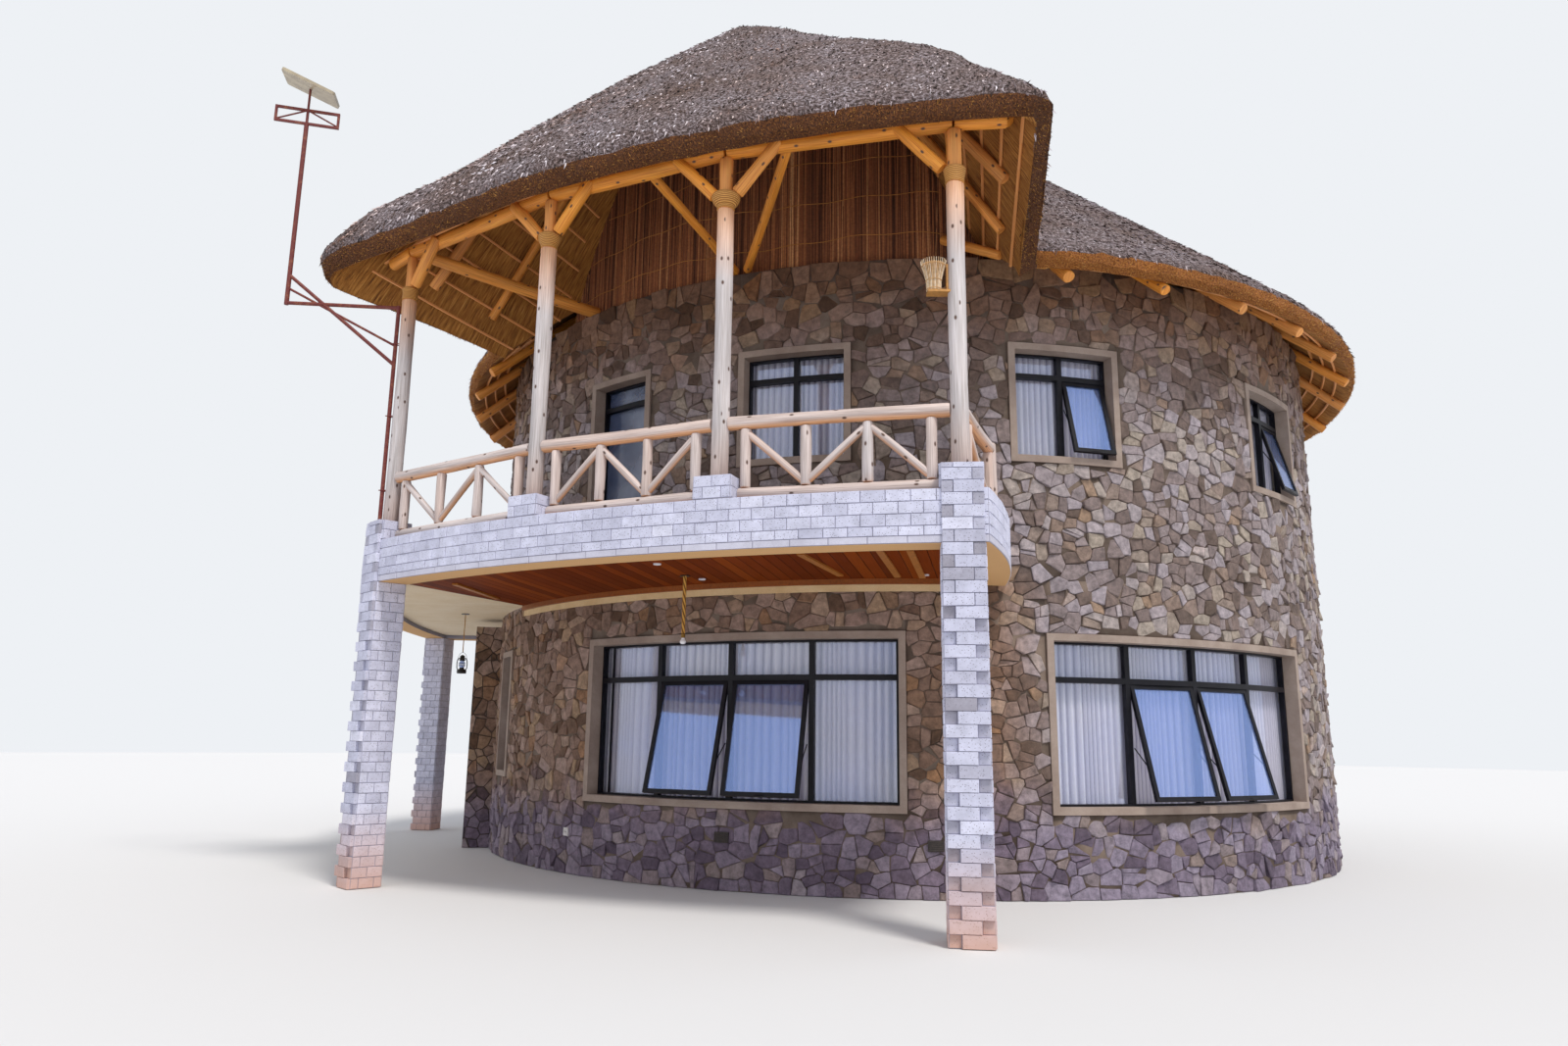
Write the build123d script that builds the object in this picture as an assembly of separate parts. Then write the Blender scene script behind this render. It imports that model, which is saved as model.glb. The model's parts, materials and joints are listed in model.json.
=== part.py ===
from build123d import *
import os
from math import ceil, cos, degrees, hypot, radians, sin, tan

os.makedirs("parts", exist_ok=True)

# A two-storey rondavel with stone walls and a thatched roof.
# The origin is the centre of the round wall, on the ground. The front, with the
# balcony, looks towards -Y. Sizes are in millimetres, angles in degrees from +X.

# Round wall
WALL_RADIUS = 5718
GROUND_WALL_THICKNESS = 350
UPPER_WALL_THICKNESS = 250
FLOOR_THICKNESS = 120
STOREY_HEIGHT = 3000
LONGEST_PIER_ANGLE = 32
UPPER_FLOOR_THICKNESS = 130
WALL_TOP = 6345
SEAT = 0.3

# Windows and doors: one frame design at three widths
GROUND_SILL = 764
GROUND_HEAD = 2476
UPPER_SILL = 4189
UPPER_HEAD = 5445
WIDE_WINDOW_ANGLE = 36.6
UPPER_WINDOW_ANGLE = 12.2
NARROW_WINDOW_ANGLE = 6.2
DOOR_ANGLE = 9.6
SURROUND_WIDTH = 70
SURROUND_PROUD = 12
FRAME_LAP = 36
GLASS_LAP = 14
NARROW_SILL_RISE = 180
FRAME_SETBACK = 130
FRAME_DEPTH = 60
FRAME_FACE = 55
GLASS_THICKNESS = 8
TRANSOM_DROP = 430
UPPER_TRANSOM_DROP = 300
CURTAIN_GAP = 30
CURTAIN_THICKNESS = 20
CURTAIN_LIFT = 25
SASH_DEPTH = 36
SASH_FACE = 42
SASH_CLEARANCE = 3
SASH_INSET = 8
SASH_TILT = 15
WIDE_WINDOWS = {"front_left": -113.4, "front_right": -63.0, "right": -5.0, "back_right": 47.0, "back": 99.0}
NARROW_WINDOW = -155.0
UPPER_WINDOWS = {"balcony": -106.5, "front": -78.2, "front_right": -46.3, "right": -2.0, "back_right": 45.0,
                 "back": 92.0, "back_left": 139.0}
OPEN_LIGHTS = {("ground", "front_left"): (1, 2), ("ground", "front_right"): (1, 2), ("upper", "front"): (1,),
               ("upper", "front_right"): (1,)}
BALCONY_DOOR = -128.7
ENTRANCE_DOOR = -178.0

# Balcony and porch slab. Its front edge is an arc about a point behind the wall's centre.
ARC_X = 1390
ARC_Y = 2745
ARC_RADIUS = 10874
FRONT_RIGHT_ANGLE = -98.05
FRONT_LEFT_ANGLE = -132.4
RETURN_SAG = 96
RETURN_WALL_ANGLE = -85.3
PORCH_SAG = 376
PORCH_DEPTH = 1721
PORCH_CORNER_ANGLE = 171.1
PORCH_WALL_ANGLE = 166.0
BAND_BOTTOM = 2925
BAND_TOP = 3355
BAND_WIDTH = 300
SLAB_TOP = STOREY_HEIGHT + UPPER_FLOOR_THICKNESS
CEILING_THICKNESS = 20
CEILING_END_ANGLE = -147.5
CORNICE_HEIGHT = 55
CORNICE_DEPTH = 60
CORNICE_STOP = 4
STRIP_HEIGHT = 65
STRIP_DEPTH = 28

# Pillars, pier blocks and posts. A pillar turns a little from the line of the band.
PILLAR_WIDTH = 330
PILLAR_DEPTH = 295
RIGHT_PILLAR_TURN = -97
LEFT_PILLAR_TURN = -137
REAR_PILLAR_TURN = 172
REAR_PILLAR_INSET = 5
PIER_HEIGHT = 200
POST_ANGLES = (-99.1, -109.8, -120.0, -131.7)
POST_DIAMETER = 150
UPPER_POST_DIAMETER = 118
COLLAR_DROP = 490
COLLAR_DIAMETERS = (192, 255, 218, 175)
COLLAR_LENGTH = 140
BEAM_DIAMETER = 140
BEAM_OVERHANG_ANGLE = 2.4
BRACKET_DIAMETER = 95
BRACKET_START = 112
BRACKET_REACH = 500
TIE_DIAMETER = 120
TIE_POST_ANGLES = (-99.1, -131.7)
TIE_WALL_ANGLES = (-93.5, -134.5)
TIE_BEARING = 88
TIE_BEDDING = 3

# Log railing
RAIL_HEIGHT = 4030
RAIL_DIAMETER = 115
BALUSTER_DIAMETER = 90
BRACE_DIAMETER = 62
NEWEL_DIAMETER = 110
RIGHT_NEWEL_PLACE = 0.585
PORCH_NEWEL_PLACE = 0.547
BALUSTER_CLEARANCE = 10
BRACE_LIFT = 20
PIER_SKEW = 7.5
RIGHT_WALL_GAP = 16
PORCH_WALL_GAP = 25

# Main thatched cone
ROOF_SLOPE = 41.2
THATCH = 220
EAVE_RADIUS = 6480
APEX_ROUND = 450
RAFTER_DIAMETER = 120
RAFTER_STEP = 10
RAFTER_TAIL = 552
RAFTER_FIRST = -80
LONG_RAFTER_END = 1500
SHORT_RAFTER_END = 3200
HOOD_ZONE = (-147, -81)

# Hood over the balcony
HOOD_AXIS = -113.5
HOOD_THATCH = 225
HOOD_EAVE_OVERHANG = 206
HOOD_EAVE_TOP = 6600
HOOD_FRONT_SLOPE = 47.6
HOOD_RIDGE = 10000
HOOD_BULGE = 380
HOOD_RIGHT = ((7330, 3700, 6600), (5680, 3236, 6050))
HOOD_LEFT = ((7360, 4270, 6600), (5600, 3340, 6050))
HOOD_RAFTER_DIAMETER = 95
LINING_THICKNESS = 40
LINING_INSET = 125
LINING_ZONE = (-150, -76)
FAN_ANGLES = (-102.5, -107, -113, -119, -125)
FAN_TOP_RADIUS = 7700
RIGHT_POLE_STATIONS = (5850, 6450, 7050)
LEFT_POLE_STATIONS = (5850, 6500, 7100)
POLE_FOOT = 0.07
POLE_TOP = 0.93
POLE_BEDDING = 3
HOOD_EAVE_INSET = 130
HOOD_EAVE_DROP = 220
HOOD_CLEAR = 3000
RIDGE_SLOPE = 25
HOOD_LIP = 70
HOOD_FRONT_STATION = 8400
HOOD_BACK_STATION = 1500
HOOD_FLOOR = 3500

# Red steel mast on the left post
MAST_REACH = (-1336, 32)
MAST_FOOT = 5950
MAST_TOP = 8085
MAST_DIAMETER = 48
SIDE_PIPE_GAP = 35
SIDE_PIPE_DIAMETER = 42
SIDE_PIPE_TOP = 5930
ARM_DIAMETER = 40
BRACE_LEVELS = ((6290, 5270, 38), (6140, 5480, 26))
MAST_FRAME = (670, 190, 26)
MAST_TURN = 15
MAST_STEM = 250
PANEL_SIZE = (590, 385, 32)
PANEL_ROLL = 20
PANEL_PITCH = 8

# Lamps and small fittings
PENDANT_PLACE = (6344, -114.7)
PENDANT_ROPE = 560
ROPE_DIAMETER = 34
SOCKET_DIAMETER = 44
SOCKET_LENGTH = 45
BULB_DIAMETER = 60
LANTERN_PLACE = (6224, -159.5)
LANTERN_ROPE = 500
LANTERN_ROPE_DIAMETER = 12
LANTERN_DIAMETER = 120
LANTERN_HEIGHT = 270
SCONCE_HEIGHT = 5030
SCONCE_LENGTH = 230
SCONCE_RADII = (55, 95)
SCONCE_WALL = 10
SOCKET_PLATE = (-134.4, 430, 86, 86, 14)
AIR_VENTS = ((-113.3, 495, 150, 100, 22), (-92.5, 480, 150, 100, 22))
STUB_ANGLE = -166.5
STUB_REACH = 330
STUB_WIDTH = 450
STUB_HEIGHT = 2870


def polar(radius, angle, z=0):
    """Point at a radius and an angle about the wall's centre."""
    return Vector(radius * cos(radians(angle)), radius * sin(radians(angle)), z)


def arc_point(radius, angle, z=0):
    """Point at a radius and an angle about the balcony's own centre."""
    return polar(radius, angle, z) + Vector(ARC_X, ARC_Y, 0)


def ring_sector(inner, outer, start, end, low, high):
    """Block of a round wall between two angles."""
    outer_arc = Edge.make_circle(outer, start_angle=start, end_angle=end)
    inner_arc = Edge.make_circle(inner, start_angle=start, end_angle=end)
    sides = [Edge.make_line(polar(inner, a), polar(outer, a)) for a in (start, end)]
    face = Face(Wire([outer_arc, sides[1], inner_arc, sides[0]]))
    return Pos(0, 0, low) * extrude(face, high - low, dir=(0, 0, 1))


def log(start, end, diameter, end_diameter=None):
    """Round timber between two points, tapered when a second diameter is given."""
    axis = Vector(end) - Vector(start)
    plane = Plane(origin=start, z_dir=axis)
    top = (end_diameter or diameter) / 2
    if end_diameter and end_diameter != diameter:
        return Solid.make_cone(diameter / 2, top, axis.length, plane)
    return Solid.make_cylinder(diameter / 2, axis.length, plane)


def turned_box(width, depth, low, high, centre, angle):
    """Upright block whose width lies across the given outward angle."""
    block = Box(depth, width, high - low, align=(Align.CENTER, Align.CENTER, Align.MIN))
    return Pos(centre.X, centre.Y, low) * Rot(0, 0, angle) * block


def save(name, *solids):
    """Write one node from its solids."""
    parts = [s for shape in solids for s in shape.solids()]
    node = parts[0] if len(parts) == 1 else Compound(children=parts)
    export_step(node, f"parts/{name}.step")


# Walls: piers stand between the openings, and sills and heads close them above and below
def opening_list(storey):
    """Each opening of a storey as its angles, its sill and its head."""
    if storey == "ground":
        spans = [(a, WIDE_WINDOW_ANGLE, GROUND_SILL, GROUND_HEAD) for a in WIDE_WINDOWS.values()]
        spans.append((NARROW_WINDOW, NARROW_WINDOW_ANGLE, GROUND_SILL + 180, GROUND_HEAD))
        spans.append((ENTRANCE_DOOR, DOOR_ANGLE, FLOOR_THICKNESS, GROUND_HEAD))
    else:
        spans = [(a, UPPER_WINDOW_ANGLE, UPPER_SILL, UPPER_HEAD) for a in UPPER_WINDOWS.values()]
        spans.append((BALCONY_DOOR, DOOR_ANGLE, SLAB_TOP, UPPER_HEAD))
    return sorted((c - w / 2, c + w / 2, low, high) for c, w, low, high in spans)


def storey_walls(storey, thickness, low, high):
    """Piers, then sills and heads, of one storey of the round wall."""
    inner = WALL_RADIUS - thickness
    openings = opening_list(storey)
    piers, fills = [], []
    for this, after in zip(openings, openings[1:] + [tuple(v + 360 for v in openings[0][:2])]):
        blocks = ceil((after[0] - this[1]) / LONGEST_PIER_ANGLE)
        step = (after[0] - this[1]) / blocks
        for block in range(blocks):
            start = this[1] + block * step
            piers.append(ring_sector(inner, WALL_RADIUS, start, start + step, low, high))
    for start, end, sill, head in openings:
        fills.append(ring_sector(inner, WALL_RADIUS, start, end, head, high))
        if sill - low > 1:
            fills.append(ring_sector(inner, WALL_RADIUS, start, end, low, sill))
    return piers, fills


ground_piers, ground_fills = storey_walls("ground", GROUND_WALL_THICKNESS, 0, STOREY_HEIGHT)
upper_piers, upper_fills = storey_walls("upper", UPPER_WALL_THICKNESS, STOREY_HEIGHT, WALL_TOP)
save("ground_wall_piers", *ground_piers)
save("ground_wall_sills_and_heads", *ground_fills)
save("upper_wall_piers", *upper_piers)
save("upper_wall_sills_and_heads", *upper_fills)

ground_floor = Cylinder(WALL_RADIUS - GROUND_WALL_THICKNESS - SEAT, FLOOR_THICKNESS,
                        align=(Align.CENTER, Align.CENTER, Align.MIN))
save("ground_floor", ground_floor)
upper_floor = Pos(0, 0, STOREY_HEIGHT) * Cylinder(
    WALL_RADIUS - UPPER_WALL_THICKNESS - SEAT, UPPER_FLOOR_THICKNESS,
    align=(Align.CENTER, Align.CENTER, Align.MIN))
save("upper_floor", upper_floor)


# Windows follow the curve of the wall
def surround(start, end, low, high, has_sill=True):
    """Plaster surround that lines an opening and stands a little proud of the stones."""
    inner = WALL_RADIUS - FRAME_SETBACK
    edge = degrees(SURROUND_WIDTH / WALL_RADIUS)
    gap = degrees(SEAT / WALL_RADIUS)
    low_edge = low + SEAT if has_sill else low
    body = ring_sector(inner, WALL_RADIUS + SURROUND_PROUD, start + gap, end - gap, low_edge, high - SEAT)
    hole_low = low_edge + (SURROUND_WIDTH if has_sill else -1)
    hole = ring_sector(inner - 1, WALL_RADIUS + SURROUND_PROUD + 1, start + edge, end - edge,
                       hole_low, high - SURROUND_WIDTH)
    return body - hole


def lights(start, end, columns):
    """Clear span in degrees of each column between the mullions of a frame."""
    face = degrees(FRAME_FACE / frame_radius)
    step = (end - start - face) / columns
    return [(start + column * step + face, start + (column + 1) * step) for column in range(columns)]


def window_frame(start, end, low, high, columns, transom):
    """Metal frame with mullions and a transom, curved like the wall."""
    body = ring_sector(frame_radius - FRAME_DEPTH, frame_radius, start, end, low, high)
    for a0, a1 in lights(start, end, columns):
        for z0, z1 in ((low + FRAME_FACE, high - transom), (high - transom + FRAME_FACE, high - FRAME_FACE)):
            body -= ring_sector(frame_radius - 2 * FRAME_DEPTH, frame_radius + FRAME_DEPTH, a0, a1, z0, z1)
    return body


def glass_panes(start, end, low, high, columns, transom, open_columns=()):
    """Flat panes behind the frame, one to each column; an open column keeps only the pane above its transom."""
    radius = frame_radius - FRAME_DEPTH - SEAT
    panes = []
    for column, (a0, a1) in enumerate(lights(start, end, columns)):
        middle, half = (a0 + a1) / 2, radians((a1 - a0) / 2)
        width = 2 * (radius * tan(half) + GLASS_LAP)
        foot = high - transom + FRAME_FACE - GLASS_LAP if column in open_columns else low + FRAME_FACE - GLASS_LAP
        depth = radius * cos(half + GLASS_LAP / radius) - GLASS_THICKNESS / 2
        panes.append(turned_box(width, GLASS_THICKNESS, foot, high - FRAME_FACE + GLASS_LAP, polar(depth, middle),
                                middle))
    return panes


def open_sash(start, end, low, high):
    """Top-hung sash and its pane, swung out of one light."""
    half = radians((end - start) / 2)
    radius = (frame_radius - SASH_INSET) * cos(half)
    width = 2 * (frame_radius - SASH_INSET - SASH_DEPTH) * tan(half) - 2 * SASH_CLEARANCE
    height = high - low - SASH_CLEARANCE
    hung = (Align.MAX, Align.CENTER, Align.MAX)
    rim = Box(SASH_DEPTH, width, height, align=hung)
    rim -= Pos(SASH_DEPTH, 0, -SASH_FACE) * Box(3 * SASH_DEPTH, width - 2 * SASH_FACE, height - 2 * SASH_FACE, align=hung)
    pane_edge = SASH_FACE + SEAT
    pane = Pos((GLASS_THICKNESS - SASH_DEPTH) / 2, 0, -pane_edge) * Box(
        GLASS_THICKNESS, width - 2 * pane_edge, height - 2 * pane_edge, align=hung)
    hinge = polar(radius, (start + end) / 2, high - SEAT)
    place = Pos(hinge.X, hinge.Y, hinge.Z) * Rot(0, 0, (start + end) / 2) * Rot(0, -SASH_TILT, 0)
    return place * rim, place * pane


def curtain(start, end, low, high):
    """Closed curtain that hangs from the head of a window, from reveal to reveal."""
    radius = frame_radius - FRAME_DEPTH - CURTAIN_GAP
    gap = degrees(SEAT / radius)
    return ring_sector(radius - CURTAIN_THICKNESS, radius, start + gap, end - gap, low + CURTAIN_LIFT, high - SEAT)


frame_radius = WALL_RADIUS - FRAME_SETBACK - SEAT
edge_angle = degrees(SURROUND_WIDTH / WALL_RADIUS)
frame_inset = degrees(FRAME_LAP / WALL_RADIUS)
windows = {"ground": [(name, angle, WIDE_WINDOW_ANGLE, GROUND_SILL, GROUND_HEAD, 4)
                      for name, angle in WIDE_WINDOWS.items()],
           "upper": [(name, angle, UPPER_WINDOW_ANGLE, UPPER_SILL, UPPER_HEAD, 2)
                     for name, angle in UPPER_WINDOWS.items()]}
windows["ground"].append(("narrow", NARROW_WINDOW, NARROW_WINDOW_ANGLE, GROUND_SILL + NARROW_SILL_RISE, GROUND_HEAD, 1))
sashes = []
for storey, rows in windows.items():
    surrounds, frames, panes, curtains = [], [], [], []
    transom = {"ground": TRANSOM_DROP, "upper": UPPER_TRANSOM_DROP}[storey]
    for name, middle, width, low, high, columns in rows:
        start, end = middle - width / 2, middle + width / 2
        surrounds.append(surround(start, end, low, high))
        curtains.append(curtain(start, end, low, high))
        opened = OPEN_LIGHTS.get((storey, name), ())
        frame_place = (start + frame_inset, end - frame_inset, low + FRAME_LAP, high - FRAME_LAP, columns)
        frames.append(window_frame(*frame_place, transom))
        panes += glass_panes(*frame_place, transom, opened)
        for column in opened:
            a0, a1 = lights(start + frame_inset, end - frame_inset, columns)[column]
            rim, pane = open_sash(a0, a1, low + FRAME_LAP + FRAME_FACE, high - FRAME_LAP - transom)
            sashes.append(rim)
            panes.append(pane)
    save(f"{storey}_window_surrounds", *surrounds)
    save(f"{storey}_window_frames", *frames)
    save(f"{storey}_window_glass", *panes)
    save(f"{storey}_curtains", *curtains)
save("open_sashes", *sashes)

door_glass = []
for name, middle, low in (("balcony_door", BALCONY_DOOR, SLAB_TOP), ("entrance_door", ENTRANCE_DOOR, FLOOR_THICKNESS)):
    start, end = middle - DOOR_ANGLE / 2, middle + DOOR_ANGLE / 2
    head = UPPER_HEAD if name == "balcony_door" else GROUND_HEAD
    door_place = (start + frame_inset, end - frame_inset, low + SEAT, head - FRAME_LAP, 1)
    save(name, window_frame(*door_place, UPPER_TRANSOM_DROP))
    door_glass += glass_panes(*door_place, UPPER_TRANSOM_DROP)
    save(f"{name}_surround", surround(start, end, low, head, False))
save("door_glass", *door_glass)

# Balcony and porch slab with its tiled edge band
front_arc = Edge.make_circle(ARC_RADIUS, Plane(origin=(ARC_X, ARC_Y, 0)), FRONT_LEFT_ANGLE, FRONT_RIGHT_ANGLE)
front_right = arc_point(ARC_RADIUS, FRONT_RIGHT_ANGLE)
front_left = arc_point(ARC_RADIUS, FRONT_LEFT_ANGLE)
inside = WALL_RADIUS - GROUND_WALL_THICKNESS
wall_right = polar(WALL_RADIUS, RETURN_WALL_ANGLE)
wall_left = polar(WALL_RADIUS, PORCH_WALL_ANGLE)
porch_corner = polar(WALL_RADIUS + PORCH_DEPTH, PORCH_CORNER_ANGLE)


def bowed(start, end, sag):
    """Arc between two plan points that bows to the right of the way by its sag."""
    along = (end - start).normalized()
    return Edge.make_three_point_arc(start, (start + end) * 0.5 + Vector(along.Y, -along.X, 0) * sag, end)


return_arc = bowed(wall_right, front_right, -RETURN_SAG)
porch_arc = bowed(front_left, porch_corner, -PORCH_SAG)
outline = Face(Wire([front_arc, return_arc, Edge.make_line(wall_right, polar(inside, RETURN_WALL_ANGLE)),
                     Edge.make_line(polar(inside, RETURN_WALL_ANGLE), polar(inside, PORCH_WALL_ANGLE)),
                     Edge.make_line(polar(inside, PORCH_WALL_ANGLE), wall_left),
                     Edge.make_line(wall_left, porch_corner), porch_arc]))
round_core = Cylinder(WALL_RADIUS, 2 * WALL_TOP, align=(Align.CENTER, Align.CENTER, Align.MIN))


def above(face, low, high):
    """Prism over a flat face between two heights."""
    return Pos(0, 0, low) * extrude(face, high - low, dir=(0, 0, 1))


slab_face = offset(outline, amount=-BAND_WIDTH, kind=Kind.INTERSECTION)
slab_face = slab_face.faces()[0]
band = above(outline, BAND_BOTTOM, BAND_TOP) - above(slab_face, 0, WALL_TOP) - round_core
slab = above(slab_face, STOREY_HEIGHT, SLAB_TOP) - round_core
save("balcony_band", band)
save("balcony_slab", slab)

# Board ceiling under the balcony, and the plaster soffit under the porch
ceiling_low, ceiling_high = STOREY_HEIGHT - CEILING_THICKNESS - SEAT, STOREY_HEIGHT - SEAT
under_slab = above(slab_face, ceiling_low, ceiling_high) - round_core
board_edge = [polar(WALL_RADIUS / 2, CEILING_END_ANGLE), polar(WALL_RADIUS, CEILING_END_ANGLE),
              arc_point(ARC_RADIUS, POST_ANGLES[3])]
beyond = Face(Wire.make_polygon(board_edge + [polar(2 * ARC_RADIUS, POST_ANGLES[3]), polar(2 * ARC_RADIUS, 180),
                                              polar(2 * ARC_RADIUS, PORCH_WALL_ANGLE - 30)]))
porch_room = above(beyond, 0, STOREY_HEIGHT)
save("balcony_ceiling", under_slab - porch_room)
save("porch_soffit", under_slab & porch_room)

# Timber cornice and a plaster strip below it, along the wall under the board ceiling
cornice_span = (CEILING_END_ANGLE, RETURN_WALL_ANGLE - CORNICE_STOP)
cornice_low = ceiling_low - SEAT - CORNICE_HEIGHT
save("ceiling_cornice", ring_sector(WALL_RADIUS + SEAT, WALL_RADIUS + CORNICE_DEPTH, *cornice_span, cornice_low,
                                    ceiling_low - SEAT))
save("plaster_strip", ring_sector(WALL_RADIUS + SEAT, WALL_RADIUS + STRIP_DEPTH, *cornice_span,
                                  cornice_low - SEAT - STRIP_HEIGHT, cornice_low - SEAT))

# Pillars under the band, pier blocks on it
band_middle = ARC_RADIUS - BAND_WIDTH / 2
rear_pillar = porch_corner + (wall_left - porch_corner).normalized() * (PILLAR_DEPTH / 2 + REAR_PILLAR_INSET)
rear_pillar += (front_left - porch_corner).normalized() * (PILLAR_WIDTH / 2 + REAR_PILLAR_INSET)
pillars = [
    turned_box(PILLAR_WIDTH, PILLAR_DEPTH, 0, BAND_BOTTOM, arc_point(band_middle, POST_ANGLES[0]), RIGHT_PILLAR_TURN),
    turned_box(PILLAR_WIDTH, PILLAR_DEPTH, 0, BAND_BOTTOM, arc_point(band_middle, POST_ANGLES[3]), LEFT_PILLAR_TURN),
    turned_box(PILLAR_WIDTH, PILLAR_DEPTH, 0, BAND_BOTTOM, rear_pillar, REAR_PILLAR_TURN)]
for name, pillar in zip(("right_pillar", "left_pillar", "rear_pillar"), pillars):
    save(name, pillar)
pier_top = BAND_TOP + PIER_HEIGHT
save("pier_blocks", *[turned_box(PILLAR_WIDTH, BAND_WIDTH, BAND_TOP, pier_top, arc_point(band_middle, a), a)
                      for a in POST_ANGLES])

# Posts, lashed collars and Y brackets under the eave beam
front_rise = tan(radians(HOOD_FRONT_SLOPE))
front_cos = cos(radians(HOOD_FRONT_SLOPE))
eave_radius = ARC_RADIUS + HOOD_EAVE_OVERHANG


def hood_underside(radius):
    """Height of the thatch's underside on the front slope, at a radius about the balcony's centre."""
    return HOOD_EAVE_TOP + (eave_radius - radius) * front_rise - HOOD_THATCH / front_cos


beam_height = hood_underside(band_middle) - (BEAM_DIAMETER / 2 + SEAT) / front_cos
post_top = beam_height - BEAM_DIAMETER / 2 - SEAT
collar_low = post_top - COLLAR_DROP
collar_top = collar_low + COLLAR_LENGTH


def lashed_collar(diameter):
    """Collar that flares out from under the lower post to the foot of the brackets."""
    inner, rim = UPPER_POST_DIAMETER / 2 + SEAT, diameter / 2
    neck = POST_DIAMETER / 2 + 3
    with BuildPart() as collar:
        with BuildSketch(Plane.XZ):
            with BuildLine():
                Polyline((inner, 0), (neck, 0), (neck + 3, COLLAR_LENGTH * 0.25))
                Spline((neck + 3, COLLAR_LENGTH * 0.25), (rim - 7, COLLAR_LENGTH * 0.62), (rim, COLLAR_LENGTH * 0.88))
                Polyline((rim, COLLAR_LENGTH * 0.88), (rim - 12, COLLAR_LENGTH), (inner, COLLAR_LENGTH), (inner, 0))
            make_face()
        revolve(axis=Axis.Z)
    return collar.part


beam_ends = (POST_ANGLES[3] - BEAM_OVERHANG_ANGLE, POST_ANGLES[3], POST_ANGLES[2], POST_ANGLES[1], POST_ANGLES[0],
             POST_ANGLES[0] + BEAM_OVERHANG_ANGLE)
beam_points = [arc_point(band_middle, a, beam_height) for a in beam_ends]
beam_joint = BEAM_DIAMETER / 2 * tan(radians(max(b - a for a, b in zip(beam_ends, beam_ends[1:])) / 2)) + SEAT
beams, beam_room = [], []
for start, end in zip(beam_points, beam_points[1:]):
    along = (end - start).normalized()
    beams.append(log(start + along * beam_joint, end - along * beam_joint, BEAM_DIAMETER))
    beam_room.append(log(start, end, BEAM_DIAMETER + 2 * SEAT))
save("eave_beams", *beams)


def fitted(piece, *others):
    """A log with its ends scribed to the pieces that it meets."""
    for other in others:
        piece = piece - other
    return max(piece.solids(), key=lambda solid: solid.volume)


posts, collars, brackets = [], [], []
for angle, collar_diameter, sides in zip(POST_ANGLES, COLLAR_DIAMETERS, ((-1,), (-1, 1), (-1, 1), (1,))):
    foot = arc_point(band_middle, angle, collar_low)
    top = arc_point(band_middle, angle, post_top)
    posts.append(log(arc_point(band_middle, angle, pier_top), foot - Vector(0, 0, SEAT), POST_DIAMETER))
    posts.append(log(foot, top, UPPER_POST_DIAMETER))
    collars.append(Pos(foot.X, foot.Y, foot.Z) * lashed_collar(collar_diameter))
    post_room = log(foot, top, UPPER_POST_DIAMETER + 2 * SEAT)
    collar_room = log(foot - Vector(0, 0, COLLAR_LENGTH), foot + Vector(0, 0, COLLAR_LENGTH + SEAT), BRACKET_REACH)
    for side in sides:
        low = arc_point(band_middle, angle + degrees(BRACKET_START / band_middle) * side, collar_top)
        high = arc_point(band_middle, angle + degrees(BRACKET_REACH / band_middle) * side, beam_height)
        brackets.append(fitted(log(low, high, BRACKET_DIAMETER), post_room, collar_room, *beam_room))
save("log_posts", *posts)
save("post_collars", *collars)
save("post_brackets", *brackets)

# Tie beams run from behind the eave beam to the top of the wall
tie_seat = WALL_TOP + TIE_DIAMETER / 2 - TIE_BEDDING
wall_room = log(Vector(0, 0, 0), Vector(0, 0, WALL_TOP + SEAT), 2 * WALL_RADIUS)
ties = []
for angle, wall_angle in zip(TIE_POST_ANGLES, TIE_WALL_ANGLES):
    tie = log(arc_point(band_middle, angle, beam_height), polar(WALL_RADIUS - TIE_BEARING, wall_angle, tie_seat),
              TIE_DIAMETER)
    ties.append(fitted(tie, wall_room, *beam_room))
save("tie_beams", *ties)


# Log railing: top and bottom rails with uprights and braces between them
def rail_bay(start, end, pattern, top_gaps, foot_gaps):
    """One bay of railing between two plan points, its braces leaning as the pattern says."""
    start, end = Vector(*start), Vector(*end)
    along = (end - start).normalized()
    top = Vector(0, 0, RAIL_HEIGHT)
    base = Vector(0, 0, BAND_TOP + RAIL_DIAMETER / 2 + SEAT)
    near, far = start + along * foot_gaps[0], end - along * foot_gaps[1]
    pieces = [log(start + along * top_gaps[0] + top, end - along * top_gaps[1] + top, RAIL_DIAMETER),
              log(near + base, far + base, RAIL_DIAMETER)]
    foot = BAND_TOP + RAIL_DIAMETER + 2 * SEAT
    head = RAIL_HEIGHT - RAIL_DIAMETER / 2 - SEAT
    clear = (far - near).length - BALUSTER_DIAMETER - 2 * BALUSTER_CLEARANCE
    first = near + along * (BALUSTER_CLEARANCE + BALUSTER_DIAMETER / 2)
    places = [first + along * (clear * k / len(pattern)) for k in range(len(pattern) + 1)]
    for place in places:
        pieces.append(log(place + Vector(0, 0, foot), place + Vector(0, 0, head), BALUSTER_DIAMETER))
    low_z, high_z = foot + BRACE_LIFT, head - BRACE_LIFT
    rail_room = [log(start + level, end + level, RAIL_DIAMETER + 2 * SEAT) for level in (top, base)]
    for left, right, lean in zip(places, places[1:], pattern):
        left_z, right_z = (high_z, low_z) if lean == "down" else (low_z, high_z)
        upright_room = [log(place + base, place + top, BALUSTER_DIAMETER + 2 * SEAT) for place in (left, right)]
        brace = log(left + Vector(0, 0, left_z), right + Vector(0, 0, right_z), BRACE_DIAMETER)
        pieces.append(fitted(brace, *rail_room, *upright_room))
    return pieces


def plan(point):
    """Plan place of a point as an x and y pair."""
    return point.X, point.Y


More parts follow.
